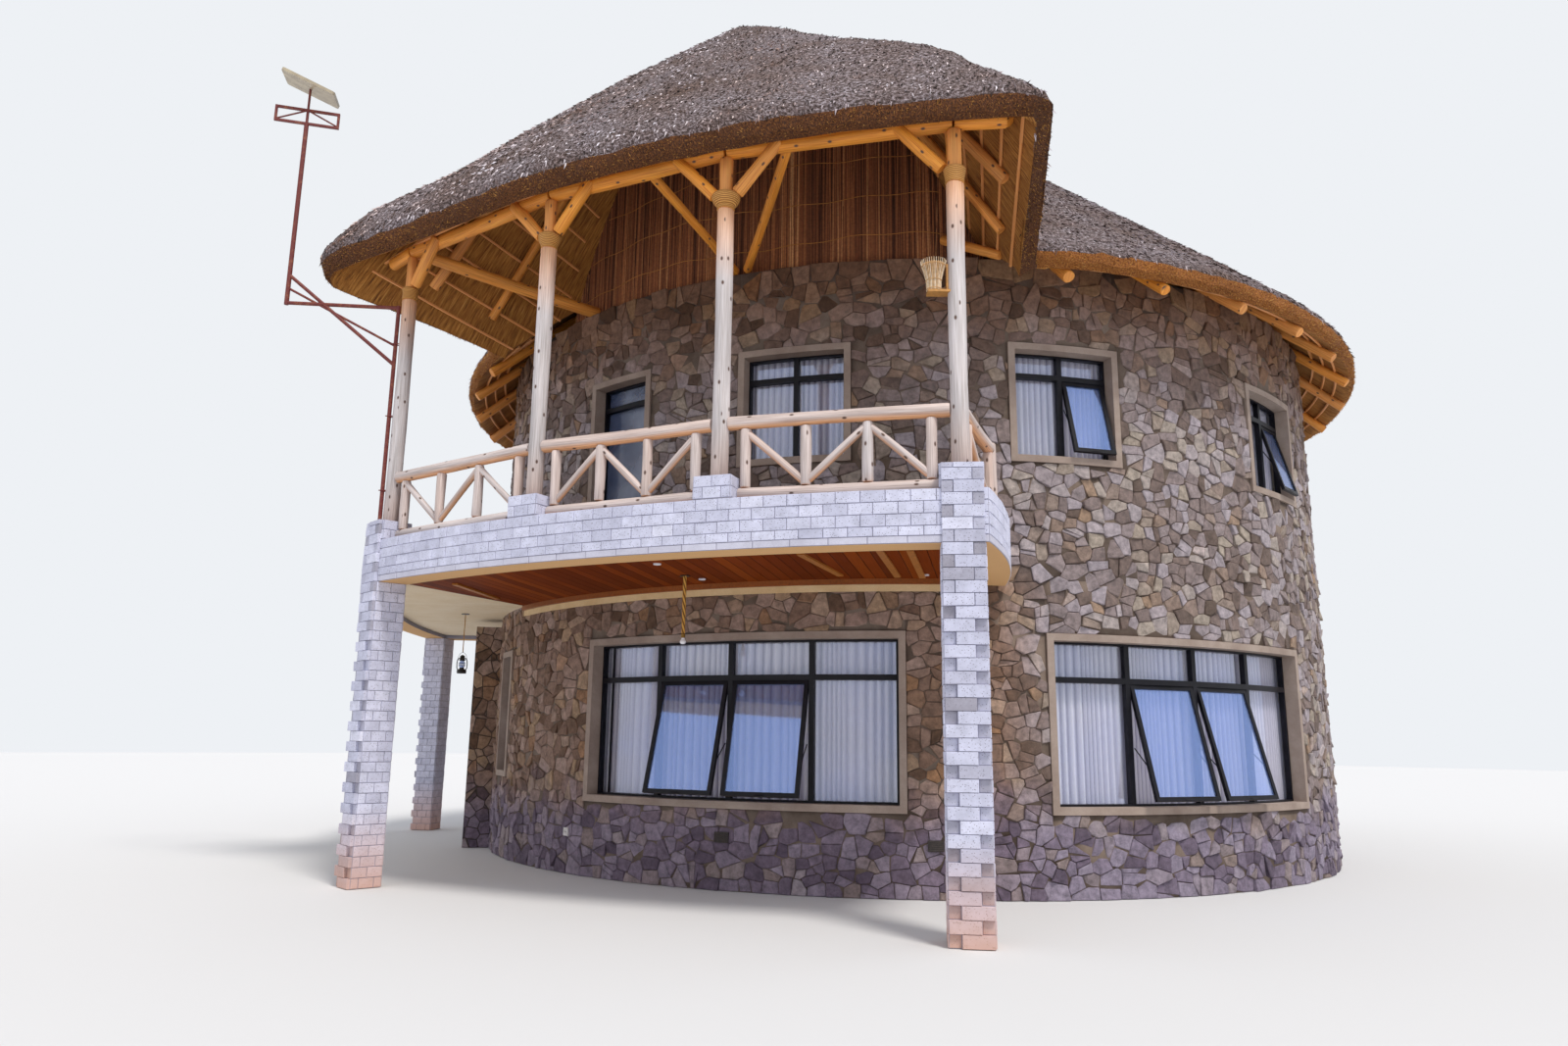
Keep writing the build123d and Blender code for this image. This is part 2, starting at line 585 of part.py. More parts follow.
falling, rising = ("down", "up", "down"), ("up", "down", "up")
post_gap = POST_DIAMETER / 2 + SEAT
pier_gap = PILLAR_WIDTH / 2 + RAIL_DIAMETER / 2 * tan(radians(PIER_SKEW))
newel_gap = NEWEL_DIAMETER / 2 + SEAT
post_places = [plan(arc_point(band_middle, a)) for a in POST_ANGLES]
front_railing = []
for bay, pattern in enumerate((falling, rising, falling)):
    front_railing += rail_bay(post_places[bay + 1], post_places[bay], pattern,
                              (post_gap, post_gap), (pier_gap, pier_gap))
save("front_railing", *front_railing)

def band_centre(edge, place):
    """Plan point over the middle of the band, part of the way along one edge of the slab."""
    point, along = edge @ place, edge % place
    return plan(point + Vector(along.Y, -along.X, 0) * (BAND_WIDTH / 2))


right_newel = band_centre(return_arc, 1 - RIGHT_NEWEL_PLACE)
porch_newels = (band_centre(porch_arc, PORCH_NEWEL_PLACE), plan(rear_pillar))
newels = [log(Vector(*p, BAND_TOP + SEAT), Vector(*p, RAIL_HEIGHT + RAIL_DIAMETER / 2), NEWEL_DIAMETER)
          for p in (right_newel, *porch_newels)]
save("railing_newels", *newels)
right_wall_end = plan(polar(WALL_RADIUS, RETURN_WALL_ANGLE - 1.9))
porch_wall_end = plan(polar(WALL_RADIUS, PORCH_WALL_ANGLE + 1.6))
wall_gaps = (RIGHT_WALL_GAP, PORCH_WALL_GAP)
side_railing = rail_bay(post_places[0], right_newel, ("down",), (post_gap, newel_gap), (pier_gap + 30, newel_gap))
side_railing += rail_bay(right_newel, right_wall_end, ("up",), (newel_gap, wall_gaps[0]), (newel_gap, wall_gaps[0]))
porch_railing = rail_bay(post_places[3], porch_newels[0], falling, (post_gap, newel_gap), (pier_gap + 70, newel_gap))
porch_railing += rail_bay(porch_newels[0], porch_newels[1], rising, (newel_gap, newel_gap), (newel_gap, newel_gap))
porch_railing += rail_bay(porch_newels[1], porch_wall_end, falling[:2], (newel_gap, wall_gaps[1]),
                          (newel_gap, wall_gaps[1]))
save("right_railing", *side_railing)
save("porch_railing", *porch_railing)

# Main roof: a thatched cone on radial log rafters
roof_rise = tan(radians(ROOF_SLOPE))
roof_cos = cos(radians(ROOF_SLOPE))
roof_sin = sin(radians(ROOF_SLOPE))
rafter_drop = (RAFTER_DIAMETER + 2 * SEAT) / roof_cos
underside_apex = WALL_TOP + rafter_drop + WALL_RADIUS * roof_rise
top_apex = underside_apex + THATCH / roof_cos


eave_inner_radius = EAVE_RADIUS - THATCH * roof_sin
outer_edge = top_apex - EAVE_RADIUS * roof_rise
inner_edge = underside_apex - eave_inner_radius * roof_rise
crown_edge = top_apex - APEX_ROUND * roof_rise
crown = crown_edge + APEX_ROUND * tan(radians(ROOF_SLOPE / 2))
with BuildPart() as cone_builder:
    with BuildSketch(Plane.XZ):
        with BuildLine():
            Polyline((0, underside_apex), (eave_inner_radius, inner_edge), (EAVE_RADIUS, outer_edge),
                     (APEX_ROUND, crown_edge))
            TangentArc((APEX_ROUND, crown_edge), (0, crown), tangent=(-roof_cos, roof_sin))
            Line((0, crown), (0, underside_apex))
        make_face()
    revolve(axis=Axis.Z)
cone = cone_builder.part


def turned(points, centre=(0, 0)):
    """Solid turned about an upright axis from the points of its half section."""
    with BuildPart() as body:
        with BuildSketch(Plane.XZ):
            with BuildLine():
                Polyline(*points, close=True)
            make_face()
        revolve(axis=Axis.Z)
    return Pos(*centre, 0) * body.part


under_cone = turned([(0, HOOD_FLOOR), (eave_inner_radius, HOOD_FLOOR), (eave_inner_radius, inner_edge),
                     (0, underside_apex)])

# Hood: a hipped wedge. Its front follows the balcony's arc, and its sides rise to a level ridge.
hood_out = polar(1, HOOD_AXIS)
hood_side = Vector(-hood_out.Y, hood_out.X, 0)


def side_edge(edge, station):
    """Width and height of a side's lower edge, at a distance along the hood's axis."""
    (s0, w0, z0), (s1, w1, z1) = edge
    share = (station - s1) / (s0 - s1)
    return w1 + share * (w0 - w1), z1 + share * (z0 - z1)


def hood_curve(station, inset, edge, hand):
    """Curved line of one side at a station, from its lower edge up to the ridge, at a depth below the thatch's top."""
    width, height = side_edge(edge, station)
    rise = HOOD_RIDGE - height
    length = hypot(width, rise)
    across, up = rise / length, width / length
    origin = polar(station, HOOD_AXIS)

    def place(w, z):
        return origin + hood_side * (w * hand) + Vector(0, 0, z)

    low = place(width - inset * across, height - inset * up)
    middle = place(width / 2 + (HOOD_BULGE - inset) * across, (HOOD_RIDGE + height) / 2 + (HOOD_BULGE - inset) * up)
    top = place(0, HOOD_RIDGE - inset / cos(radians(RIDGE_SLOPE)))
    return Edge.make_three_point_arc(low, middle, top), place(width - HOOD_THATCH * across, height - HOOD_THATCH * up)


def hood_section(station, inset):
    """Upright cross-section of the hood; an inset of zero gives its outside."""
    (right, right_foot), (left, left_foot) = (hood_curve(station, inset, edge, hand)
                                              for edge, hand in ((HOOD_RIGHT, 1), (HOOD_LEFT, -1)))
    if inset:
        right_foot = (right @ 0) + hood_side * HOOD_CLEAR
        left_foot = (left @ 0) - hood_side * HOOD_CLEAR
    corners = [left @ 0, left_foot, Vector(left_foot.X, left_foot.Y, HOOD_FLOOR),
               Vector(right_foot.X, right_foot.Y, HOOD_FLOOR), right_foot, right @ 0]
    return Wire([right, left] + [Edge.make_line(a, b) for a, b in zip(corners, corners[1:])])


def hood_tent(inset):
    """Body under the hood's two sides, down to the floor level."""
    return Solid.make_loft([hood_section(s, inset) for s in (HOOD_BACK_STATION, HOOD_FRONT_STATION)], True)


def front_body(inset):
    """Body under the hood's front slope, turned about the balcony's centre."""
    foot_radius = eave_radius - HOOD_EAVE_INSET
    apex = HOOD_EAVE_TOP + eave_radius * front_rise
    if inset:
        lip = foot_radius - HOOD_LIP
        drop = inset / front_cos
        points = [(0, HOOD_FLOOR), (foot_radius + HOOD_CLEAR, HOOD_FLOOR), (foot_radius + HOOD_CLEAR, fascia_foot),
                  (foot_radius, fascia_foot), (lip, apex - drop - lip * front_rise), (0, apex - drop)]
    else:
        points = [(0, HOOD_FLOOR), (foot_radius, HOOD_FLOOR), (foot_radius, fascia_foot),
                  (eave_radius, HOOD_EAVE_TOP), (0, apex)]
    return turned(points, (ARC_X, ARC_Y))


fascia_foot = HOOD_EAVE_TOP - HOOD_EAVE_DROP
hood_body = front_body(0) & hood_tent(0)
hood_room = front_body(HOOD_THATCH) & hood_tent(HOOD_THATCH)
hood = hood_body - hood_room - under_cone
main_thatch = cone - hood_body
save("main_thatch", main_thatch)
save("hood_thatch", hood)

# Radial rafters of the main roof, left out where the hood opens the cone
rafter_line = underside_apex - (RAFTER_DIAMETER / 2 + SEAT) / roof_cos
tail_radius = WALL_RADIUS + RAFTER_TAIL
rafters = []
for index, angle in enumerate(range(RAFTER_FIRST, RAFTER_FIRST + 360, RAFTER_STEP)):
    if HOOD_ZONE[0] < (angle - 360 if angle > 180 else angle) < HOOD_ZONE[1]:
        continue
    top_radius = (LONG_RAFTER_END, SHORT_RAFTER_END)[index % 2]
    rafters.append(log(polar(tail_radius, angle, rafter_line - tail_radius * roof_rise),
                       polar(top_radius, angle, rafter_line - top_radius * roof_rise), RAFTER_DIAMETER))
save("roof_rafters", *rafters)

# Hood rafters: a fan under the front slope, and poles down each side, bedded against the thatch
log_radius = HOOD_RAFTER_DIAMETER / 2
pole_depth = HOOD_THATCH + log_radius - POLE_BEDDING
fan_apex = HOOD_EAVE_TOP + eave_radius * front_rise - pole_depth / front_cos
fan_foot = band_middle - BEAM_DIAMETER / 2 - HOOD_RAFTER_DIAMETER
pole_layer = HOOD_THATCH + HOOD_RAFTER_DIAMETER + SEAT
fan_room = hood_room & hood_tent(pole_layer)
hood_rafters = []
for angle in FAN_ANGLES:
    pole = log(arc_point(fan_foot, angle, fan_apex - fan_foot * front_rise),
               arc_point(FAN_TOP_RADIUS, angle, fan_apex - FAN_TOP_RADIUS * front_rise), HOOD_RAFTER_DIAMETER)
    hood_rafters.append(pole & fan_room)
for edge, hand, stations in ((HOOD_RIGHT, 1, RIGHT_POLE_STATIONS), (HOOD_LEFT, -1, LEFT_POLE_STATIONS)):
    for station in stations:
        curve, _ = hood_curve(station, pole_depth, edge, hand)
        for low, high in ((POLE_FOOT, 0.5), (0.5, POLE_TOP)):
            span = log(curve @ low, curve @ high, HOOD_RAFTER_DIAMETER) & hood_room
            if span is not None:
                hood_rafters.append(span)
save("hood_rafters", *hood_rafters)

# Reed lining that closes the hood above the round wall, below the fan of poles
lining_outer = WALL_RADIUS - LINING_INSET
lining = ring_sector(lining_outer - LINING_THICKNESS, lining_outer, *LINING_ZONE, WALL_TOP + SEAT, HOOD_RIDGE)
save("reed_lining", lining & hood_room & front_body(pole_layer))

# Red steel mast beside the left post, with its arm, braces, head frame and flat panel
left_post = arc_point(band_middle, POST_ANGLES[3])
pipe_place = left_post - Vector(POST_DIAMETER / 2 + SIDE_PIPE_GAP, 0, 0)
mast_place = left_post + Vector(*MAST_REACH, 0)


def lift(place, z):
    """A plan point raised to a height."""
    return Vector(place.X, place.Y, z)


side_pipe = log(lift(pipe_place, pier_top + SEAT), lift(pipe_place, SIDE_PIPE_TOP), SIDE_PIPE_DIAMETER)
mast = log(lift(mast_place, MAST_FOOT), lift(mast_place, MAST_TOP), MAST_DIAMETER)
pipe_room = log(lift(pipe_place, pier_top), lift(pipe_place, SIDE_PIPE_TOP + ARM_DIAMETER),
                SIDE_PIPE_DIAMETER + 2 * SEAT)
mast_room = log(lift(mast_place, MAST_FOOT - ARM_DIAMETER), lift(mast_place, MAST_TOP), MAST_DIAMETER + 2 * SEAT)
steel = [side_pipe, mast]
for mast_z, pipe_z, diameter in ((MAST_FOOT + ARM_DIAMETER / 2, SIDE_PIPE_TOP - ARM_DIAMETER / 2, ARM_DIAMETER),
                                 *BRACE_LEVELS):
    tube = log(lift(mast_place, mast_z), lift(pipe_place, pipe_z), diameter)
    steel.append(fitted(tube, pipe_room, mast_room))
frame_width, frame_height, bar = MAST_FRAME
head_frame = Box(frame_width, bar, frame_height, align=(Align.CENTER, Align.CENTER, Align.MIN))
head_frame -= Pos(0, 0, bar) * Box(frame_width - 2 * bar, 2 * bar, frame_height - 2 * bar,
                                   align=(Align.CENTER, Align.CENTER, Align.MIN))
head_frame += Box(bar, bar, frame_height, align=(Align.CENTER, Align.CENTER, Align.MIN))
for side in (-1, 1):
    head_frame += log(Vector(side * (frame_width - bar) / 2, 0, bar), Vector(0, 0, frame_height - bar / 2), bar * 0.7)
head = Pos(mast_place.X, mast_place.Y, MAST_TOP + SEAT) * Rot(0, 0, MAST_TURN)
steel.append(head * head_frame)
stem_foot = MAST_TOP + SEAT + frame_height + SEAT
panel_turn = Rot(0, 0, MAST_TURN) * Rot(PANEL_PITCH, PANEL_ROLL, 0)
panel = extrude(RectangleRounded(PANEL_SIZE[0], PANEL_SIZE[1], PANEL_SIZE[2] * 0.9), PANEL_SIZE[2])
panel = Pos(mast_place.X, mast_place.Y, stem_foot + MAST_STEM) * panel_turn * panel
stem = log(lift(mast_place, stem_foot), lift(mast_place, stem_foot + MAST_STEM + PANEL_SIZE[2]), bar)
steel.append(fitted(stem, offset(panel, SEAT)))
save("steel_mast", *steel)
save("mast_panel", panel)

# Pendant bulb on a thick rope under the board ceiling
pendant = polar(*PENDANT_PLACE)
rope_top = ceiling_low - SEAT
rope_foot = rope_top - PENDANT_ROPE
save("pendant_rope", log(lift(pendant, rope_foot), lift(pendant, rope_top), ROPE_DIAMETER))
socket_foot = rope_foot - SEAT - SOCKET_LENGTH
with BuildPart() as bulb:
    with BuildSketch(Plane.XZ):
        with BuildLine():
            neck = SOCKET_DIAMETER / 2
            Polyline((0, SOCKET_LENGTH), (neck, SOCKET_LENGTH), (neck, 0))
            Spline((neck, 0), (BULB_DIAMETER / 2, -BULB_DIAMETER * 0.45), (0, -BULB_DIAMETER),
                   tangents=[(0.3, -1), (-1, 0)])
            Line((0, -BULB_DIAMETER), (0, SOCKET_LENGTH))
        make_face()
    revolve(axis=Axis.Z)
save("pendant_bulb", Pos(pendant.X, pendant.Y, socket_foot) * bulb.part)

# Hurricane lantern on a thin rope under the porch soffit
hung = polar(*LANTERN_PLACE)
lantern_top = rope_top - LANTERN_ROPE - SEAT
save("lantern_rope", log(lift(hung, lantern_top + SEAT), lift(hung, rope_top), LANTERN_ROPE_DIAMETER))
full, tall = LANTERN_DIAMETER / 2, LANTERN_HEIGHT
with BuildPart() as lantern:
    with BuildSketch(Plane.XZ):
        with BuildLine():
            Polyline((0, 0), (full * 0.9, 0), (full, tall * 0.05), (full * 0.95, tall * 0.2),
                     (full * 0.45, tall * 0.26))
            Spline((full * 0.45, tall * 0.26), (full * 0.72, tall * 0.42), (full * 0.42, tall * 0.64))
            Polyline((full * 0.42, tall * 0.64), (full * 0.62, tall * 0.68), (full * 0.5, tall * 0.8),
                     (full * 0.28, tall * 0.84), (full * 0.28, tall * 0.94), (0, tall), (0, 0))
        make_face()
    revolve(axis=Axis.Z)
save("lantern", Pos(hung.X, hung.Y, lantern_top - tall) * lantern.part)

# Flared basket lamp on a wooden bracket against the right post
right_post = arc_point(band_middle, POST_ANGLES[0])
low_radius, high_radius = SCONCE_RADII
with BuildPart() as basket:
    with BuildSketch(Plane.XZ):
        with BuildLine():
            Line((0, 0), (low_radius, 0))
            Spline((low_radius, 0), (low_radius * 1.02, SCONCE_LENGTH * 0.4), (high_radius, SCONCE_LENGTH))
            Line((high_radius, SCONCE_LENGTH), (high_radius - SCONCE_WALL, SCONCE_LENGTH))
            Spline((high_radius - SCONCE_WALL, SCONCE_LENGTH), (low_radius * 1.02 - SCONCE_WALL, SCONCE_LENGTH * 0.4),
                   (low_radius - SCONCE_WALL, SCONCE_WALL))
            Line((low_radius - SCONCE_WALL, SCONCE_WALL), (0, SCONCE_WALL))
            Line((0, SCONCE_WALL), (0, 0))
        make_face()
    revolve(axis=Axis.Z)
lamp_place = right_post - Vector(POST_DIAMETER / 2 + high_radius + 2 * SCONCE_WALL, 0, 0)
board_length = POST_DIAMETER / 2 + high_radius + 2 * SCONCE_WALL + low_radius
shelf = Pos(lamp_place.X - low_radius, lamp_place.Y, SCONCE_HEIGHT - SEAT) * Box(
    board_length, 2 * low_radius, 2 * SCONCE_WALL, align=(Align.MIN, Align.CENTER, Align.MAX))
back = Pos(right_post.X - POST_DIAMETER / 2 - SCONCE_WALL / 2, right_post.Y, SCONCE_HEIGHT) * Box(
    SCONCE_WALL, low_radius, SCONCE_LENGTH, align=(Align.MAX, Align.CENTER, Align.MIN))
post_room = log(lift(right_post, pier_top), lift(right_post, collar_low), POST_DIAMETER + 2 * SEAT)
back = Pos(0, 0, SEAT) * back
save("post_sconce", Pos(lamp_place.X, lamp_place.Y, SCONCE_HEIGHT) * basket.part, fitted(shelf, post_room),
     fitted(back + Pos(SCONCE_WALL / 2, 0, 0) * back, post_room))


def wall_plate(angle, height, width, tall, depth):
    """Small fitting that stands on the round wall's face."""
    half = degrees(width / 2 / WALL_RADIUS)
    return ring_sector(WALL_RADIUS + SEAT, WALL_RADIUS + depth, angle - half, angle + half, height - tall / 2,
                       height + tall / 2)


save("socket_plate", wall_plate(*SOCKET_PLATE))
save("air_vents", *[wall_plate(*vent) for vent in AIR_VENTS])

# Rough stub wall that runs out under the porch
stub_middle = polar(WALL_RADIUS, STUB_ANGLE)
stub = turned_box(STUB_WIDTH, 2 * STUB_REACH, 0, STUB_HEIGHT, stub_middle, STUB_ANGLE)
save("porch_stub_wall", stub - log(Vector(0, 0, 0), Vector(0, 0, WALL_TOP), 2 * (WALL_RADIUS + SEAT)))
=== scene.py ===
import json
import logging
import math
from dataclasses import dataclass, field
from enum import Enum
from typing import Callable, Sequence

import bpy
import numpy as np
from mathutils import Matrix, Vector, noise
from mathutils.bvhtree import BVHTree

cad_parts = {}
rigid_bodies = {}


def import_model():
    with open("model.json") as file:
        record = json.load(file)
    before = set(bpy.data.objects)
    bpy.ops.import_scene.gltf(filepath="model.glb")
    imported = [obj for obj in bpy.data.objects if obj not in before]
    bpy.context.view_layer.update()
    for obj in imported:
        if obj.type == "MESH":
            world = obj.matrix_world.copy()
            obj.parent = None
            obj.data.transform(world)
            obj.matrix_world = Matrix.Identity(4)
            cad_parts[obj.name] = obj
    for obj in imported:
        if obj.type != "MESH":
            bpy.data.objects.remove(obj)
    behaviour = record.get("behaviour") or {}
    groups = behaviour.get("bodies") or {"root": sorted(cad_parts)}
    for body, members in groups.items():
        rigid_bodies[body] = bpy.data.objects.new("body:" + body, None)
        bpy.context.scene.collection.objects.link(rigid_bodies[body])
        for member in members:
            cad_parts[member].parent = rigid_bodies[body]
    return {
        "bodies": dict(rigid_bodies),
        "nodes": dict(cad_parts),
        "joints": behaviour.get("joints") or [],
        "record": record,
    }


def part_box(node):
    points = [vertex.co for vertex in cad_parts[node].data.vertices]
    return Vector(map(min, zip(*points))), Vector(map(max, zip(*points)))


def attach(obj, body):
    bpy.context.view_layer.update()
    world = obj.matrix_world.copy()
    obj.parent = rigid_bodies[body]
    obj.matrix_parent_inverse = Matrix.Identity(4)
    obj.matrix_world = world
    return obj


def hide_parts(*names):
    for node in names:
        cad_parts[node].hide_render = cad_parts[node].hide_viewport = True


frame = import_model()
NODES = frame["nodes"]

# A two-storey rondavel: rubble walls, tiled balcony and pillars, gum-pole timber and thatch.
# Metres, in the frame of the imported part: the origin is the wall's centre on the ground.

logger = logging.getLogger("rondavel")

Array = np.ndarray
Chance = np.random.Generator
Mesh = bpy.types.Mesh
Node = bpy.types.Node
NodeTree = bpy.types.NodeTree
Object = bpy.types.Object
Socket = bpy.types.NodeSocket
Ramp = tuple[tuple[float, str], ...]
Straight = tuple[tuple[float, float, float], tuple[float, float, float]]

WALL_RADIUS = 5.718
ARC_CENTRE = np.array([1.390, 2.745])
ARC_RADIUS = 10.874
BAND_FOOT, BAND_TOP = 2.925, 3.355
BAND_WIDTH = 0.300
POST_ANGLES = (-99.1, -109.8, -120.0, -131.7)
HOOD_AXIS = math.radians(-113.5)
HOOD_OUT = np.array([math.cos(HOOD_AXIS), math.sin(HOOD_AXIS)])
HOOD_SIDE = np.array([-HOOD_OUT[1], HOOD_OUT[0]])
HOOD_CENTRE = HOOD_OUT * 4.2
UP = Vector((0, 0, 1))
CEILING_FOOT = 2.9797
CEILING_TOUCH = 0.0003
STOREY_LINE = 3.2
PIER_TOP = 3.555
WALL_NODES = (
    "ground_wall_piers", "ground_wall_sills_and_heads", "upper_wall_piers", "upper_wall_sills_and_heads")
SURROUND_NODES = (
    "ground_window_surrounds", "upper_window_surrounds", "balcony_door_surround", "entrance_door_surround")


def linear(hex_colour: str) -> tuple[float, float, float, float]:
    """Turn an sRGB hex colour into linear red, green, blue and alpha.

    Args:
        hex_colour: a colour such as "#a08c6c".

    Returns:
        The four linear channels.
    """
    channels = [int(hex_colour[i:i + 2], 16) / 255 for i in (1, 3, 5)]
    red, green, blue = (c / 12.92 if c <= 0.04045 else ((c + 0.055) / 1.055) ** 2.4 for c in channels)
    return red, green, blue, 1.0


def feed(tree: NodeTree, node: Node, inputs: dict) -> None:
    """Give a node its values and links.

    Args:
        tree: the node tree.
        node: the node that gets them.
        inputs: for each named or numbered input a value, a socket, or a node whose main result it takes.
    """
    for name, value in inputs.items():
        if isinstance(value, Node):
            value = value.outputs[2 if value.bl_idname == "ShaderNodeMix" else 0]
        if isinstance(value, Socket):
            tree.links.new(value, node.inputs[name])
        else:
            node.inputs[name].default_value = value


def add_node(tree: NodeTree, kind: str, inputs: dict | None = None, stops: Sequence[tuple[float, str]] = (),
             **settings: object) -> Node:
    """Add one node with its settings, values and links. A Mix node mixes colours.

    Args:
        tree: the node tree.
        kind: the node's type name without "ShaderNode".
        inputs: what each input gets, as in feed.
        stops: places and colours of a colour ramp.
        settings: the node's own properties.

    Returns:
        The new node.
    """
    made = tree.nodes.new("ShaderNode" + kind)
    if kind == "Mix":
        made.data_type = "RGBA"
    for name, value in settings.items():
        setattr(made, name, value)
    if stops:
        ramp = made.color_ramp.elements
        ramp.remove(ramp[1])
        ramp[0].position, ramp[0].color = stops[0][0], linear(stops[0][1])
        for place, colour in stops[1:]:
            ramp.new(place).color = linear(colour)
    feed(tree, made, inputs or {})
    return made


# Finishes

@dataclass(frozen=True)
class Finish:
    """A real material and the way its surface was made."""

    name: str
    slot: str
    roughness: float = 0.85
    metallic: float = 0.0
    specular: float = 0.5

    def material(self) -> bpy.types.Material:
        """Find the shared material, or make it on first use.

        Returns:
            The material.
        """
        made = bpy.data.materials.get(self.name)
        if made is None:
            made = bpy.data.materials.new(self.name)
            made.use_nodes = True
            shader = made.node_tree.nodes["Principled BSDF"]
            feed(made.node_tree, shader, {"Roughness": self.roughness, "Metallic": self.metallic,
                                          "Specular IOR Level": self.specular})
            self.paint(made.node_tree, shader)
        return made

    def paint(self, tree: NodeTree, shader: Node) -> None:
        """Lay colour and relief on the shader."""
        raise NotImplementedError

    @staticmethod
    def coat(tree: NodeTree, shader: Node, colour: Node, relief: Node | Socket, strength: float,
             depth: float) -> None:
        """Put a colour and a relief on the shader.

        Args:
            tree: the material's node tree.
            shader: its surface shader.
            colour: what gives the colour.
            relief: what gives the relief's height.
            strength: how strongly the relief shows.
            depth: how deep it is, in metres.
        """
        bump = add_node(tree, "Bump", {"Height": relief, "Strength": strength, "Distance": depth})
        feed(tree, shader, {"Base Color": colour, "Normal": bump})


@dataclass(frozen=True)
class SplitRubble(Finish):
    """Quarried lava stone, hammer-split: each stone has its own grey, taupe or tan, mottled, with rough pits.

    Stones near the ground are damp and bluish. With the joint drawn in, cells of 150 mm stand for stones.
    """

    joint: bool = False
    cells_per_metre: float = 6.6

    def paint(self, tree: NodeTree, shader: Node) -> None:
        """Colour each stone by its tone and its damp, paint warm bounce light under the balcony and shade
        below the eaves, and pit it.

        Args:
            tree: the material's node tree.
            shader: its surface shader.
        """
        place = add_node(tree, "TexCoord").outputs["Object"]
        if self.joint:
            cells = add_node(tree, "TexVoronoi", {"Vector": place, "Scale": self.cells_per_metre})
            tone = add_node(tree, "SeparateColor", {0: cells.outputs["Color"]})
        else:
            tone = add_node(tree, "Attribute", attribute_name="tone").outputs["Fac"]
        stone = add_node(
            tree, "ValToRGB", {0: tone}, stops=((0.0, "#66554a"), (0.2, "#83716a"), (0.42, "#9b8c8b"),
            (0.62, "#b3a8ae"), (0.78, "#b3a596"), (0.88, "#98847a"), (0.96, "#a88c74"), (1.0, "#dad2da")))
        damp = add_node(tree, "ValToRGB", {0: tone}, stops=(
            (0.0, "#5b4f64"), (0.35, "#7c6f85"), (0.7, "#988da2"), (0.85, "#8e7d78"), (1.0, "#b3aab8")))
        # mottling about 55 mm across, pits of 5 mm
        mottle = add_node(
            tree, "TexNoise", {"Vector": place, "Scale": 15.0, "Detail": 7.0, "Roughness": 0.7})
        pits = add_node(tree, "TexNoise", {"Vector": place, "Scale": 160.0, "Detail": 3.0})
        axes = add_node(tree, "SeparateXYZ", {0: place})
        across, height = axes.outputs["X"], axes.outputs["Z"]
        wander = add_node(tree, "TexNoise", {"Vector": place, "Scale": 1.6, "Detail": 2.0})
        level = add_node(tree, "Math", {0: height, 1: wander}, operation="SUBTRACT")
        low = add_node(tree, "MapRange", {
            "Value": level, "From Min": 0.55, "From Max": 0.1, "To Min": 0.0, "To Max": 0.85})
        # painted warm bounce light: the ground storey's west side, under the balcony and the porch, is tinted
        # warm
        west = add_node(tree, "MapRange", {"Value": across, "From Min": 0.9, "From Max": 0.4})
        bounce_light_mask = add_node(
            tree, "MapRange", {"Value": height, "From Min": 3.1, "From Max": 2.9, "To Max": west})
        dust_and_bounce_tint = add_node(tree, "Mix", {0: bounce_light_mask, 6: stone, 7: linear("#fce4ca")}, blend_type="MULTIPLY")
        body = add_node(tree, "Mix", {0: low, 6: dust_and_bounce_tint, 7: damp})
        # painted shade: the stones below the eaves are darkened and browned
        high = add_node(tree, "MapRange", {"Value": level, "From Min": 4.3, "From Max": 5.6})
        body = add_node(tree, "Mix", {0: high, 6: body, 7: linear("#d8b490")}, blend_type="MULTIPLY")
        shade = add_node(tree, "MapRange", {
            "Value": mottle, "From Min": 0.3, "From Max": 0.7, "To Min": 0.5, "To Max": 1.38})
        colour = add_node(tree, "Mix", {0: 1.0, 6: body, 7: shade}, blend_type="MULTIPLY")
        both = add_node(tree, "Math", {0: mottle, 1: pits}, operation="ADD")
        if self.joint:
            edge = add_node(tree, "TexVoronoi", {"Vector": place, "Scale": self.cells_per_metre},
                            feature="DISTANCE_TO_EDGE")
            gap = add_node(tree, "MapRange", {"Value": edge, "From Min": 0.01, "From Max": 0.045})
            colour = add_node(tree, "Mix", {0: gap, 6: linear("#54483f"), 7: colour})
            both = add_node(tree, "Math", {0: gap, 1: 3.0, 2: both}, operation="MULTIPLY_ADD")
        self.coat(tree, shader, colour, both, 1.0, 0.014)


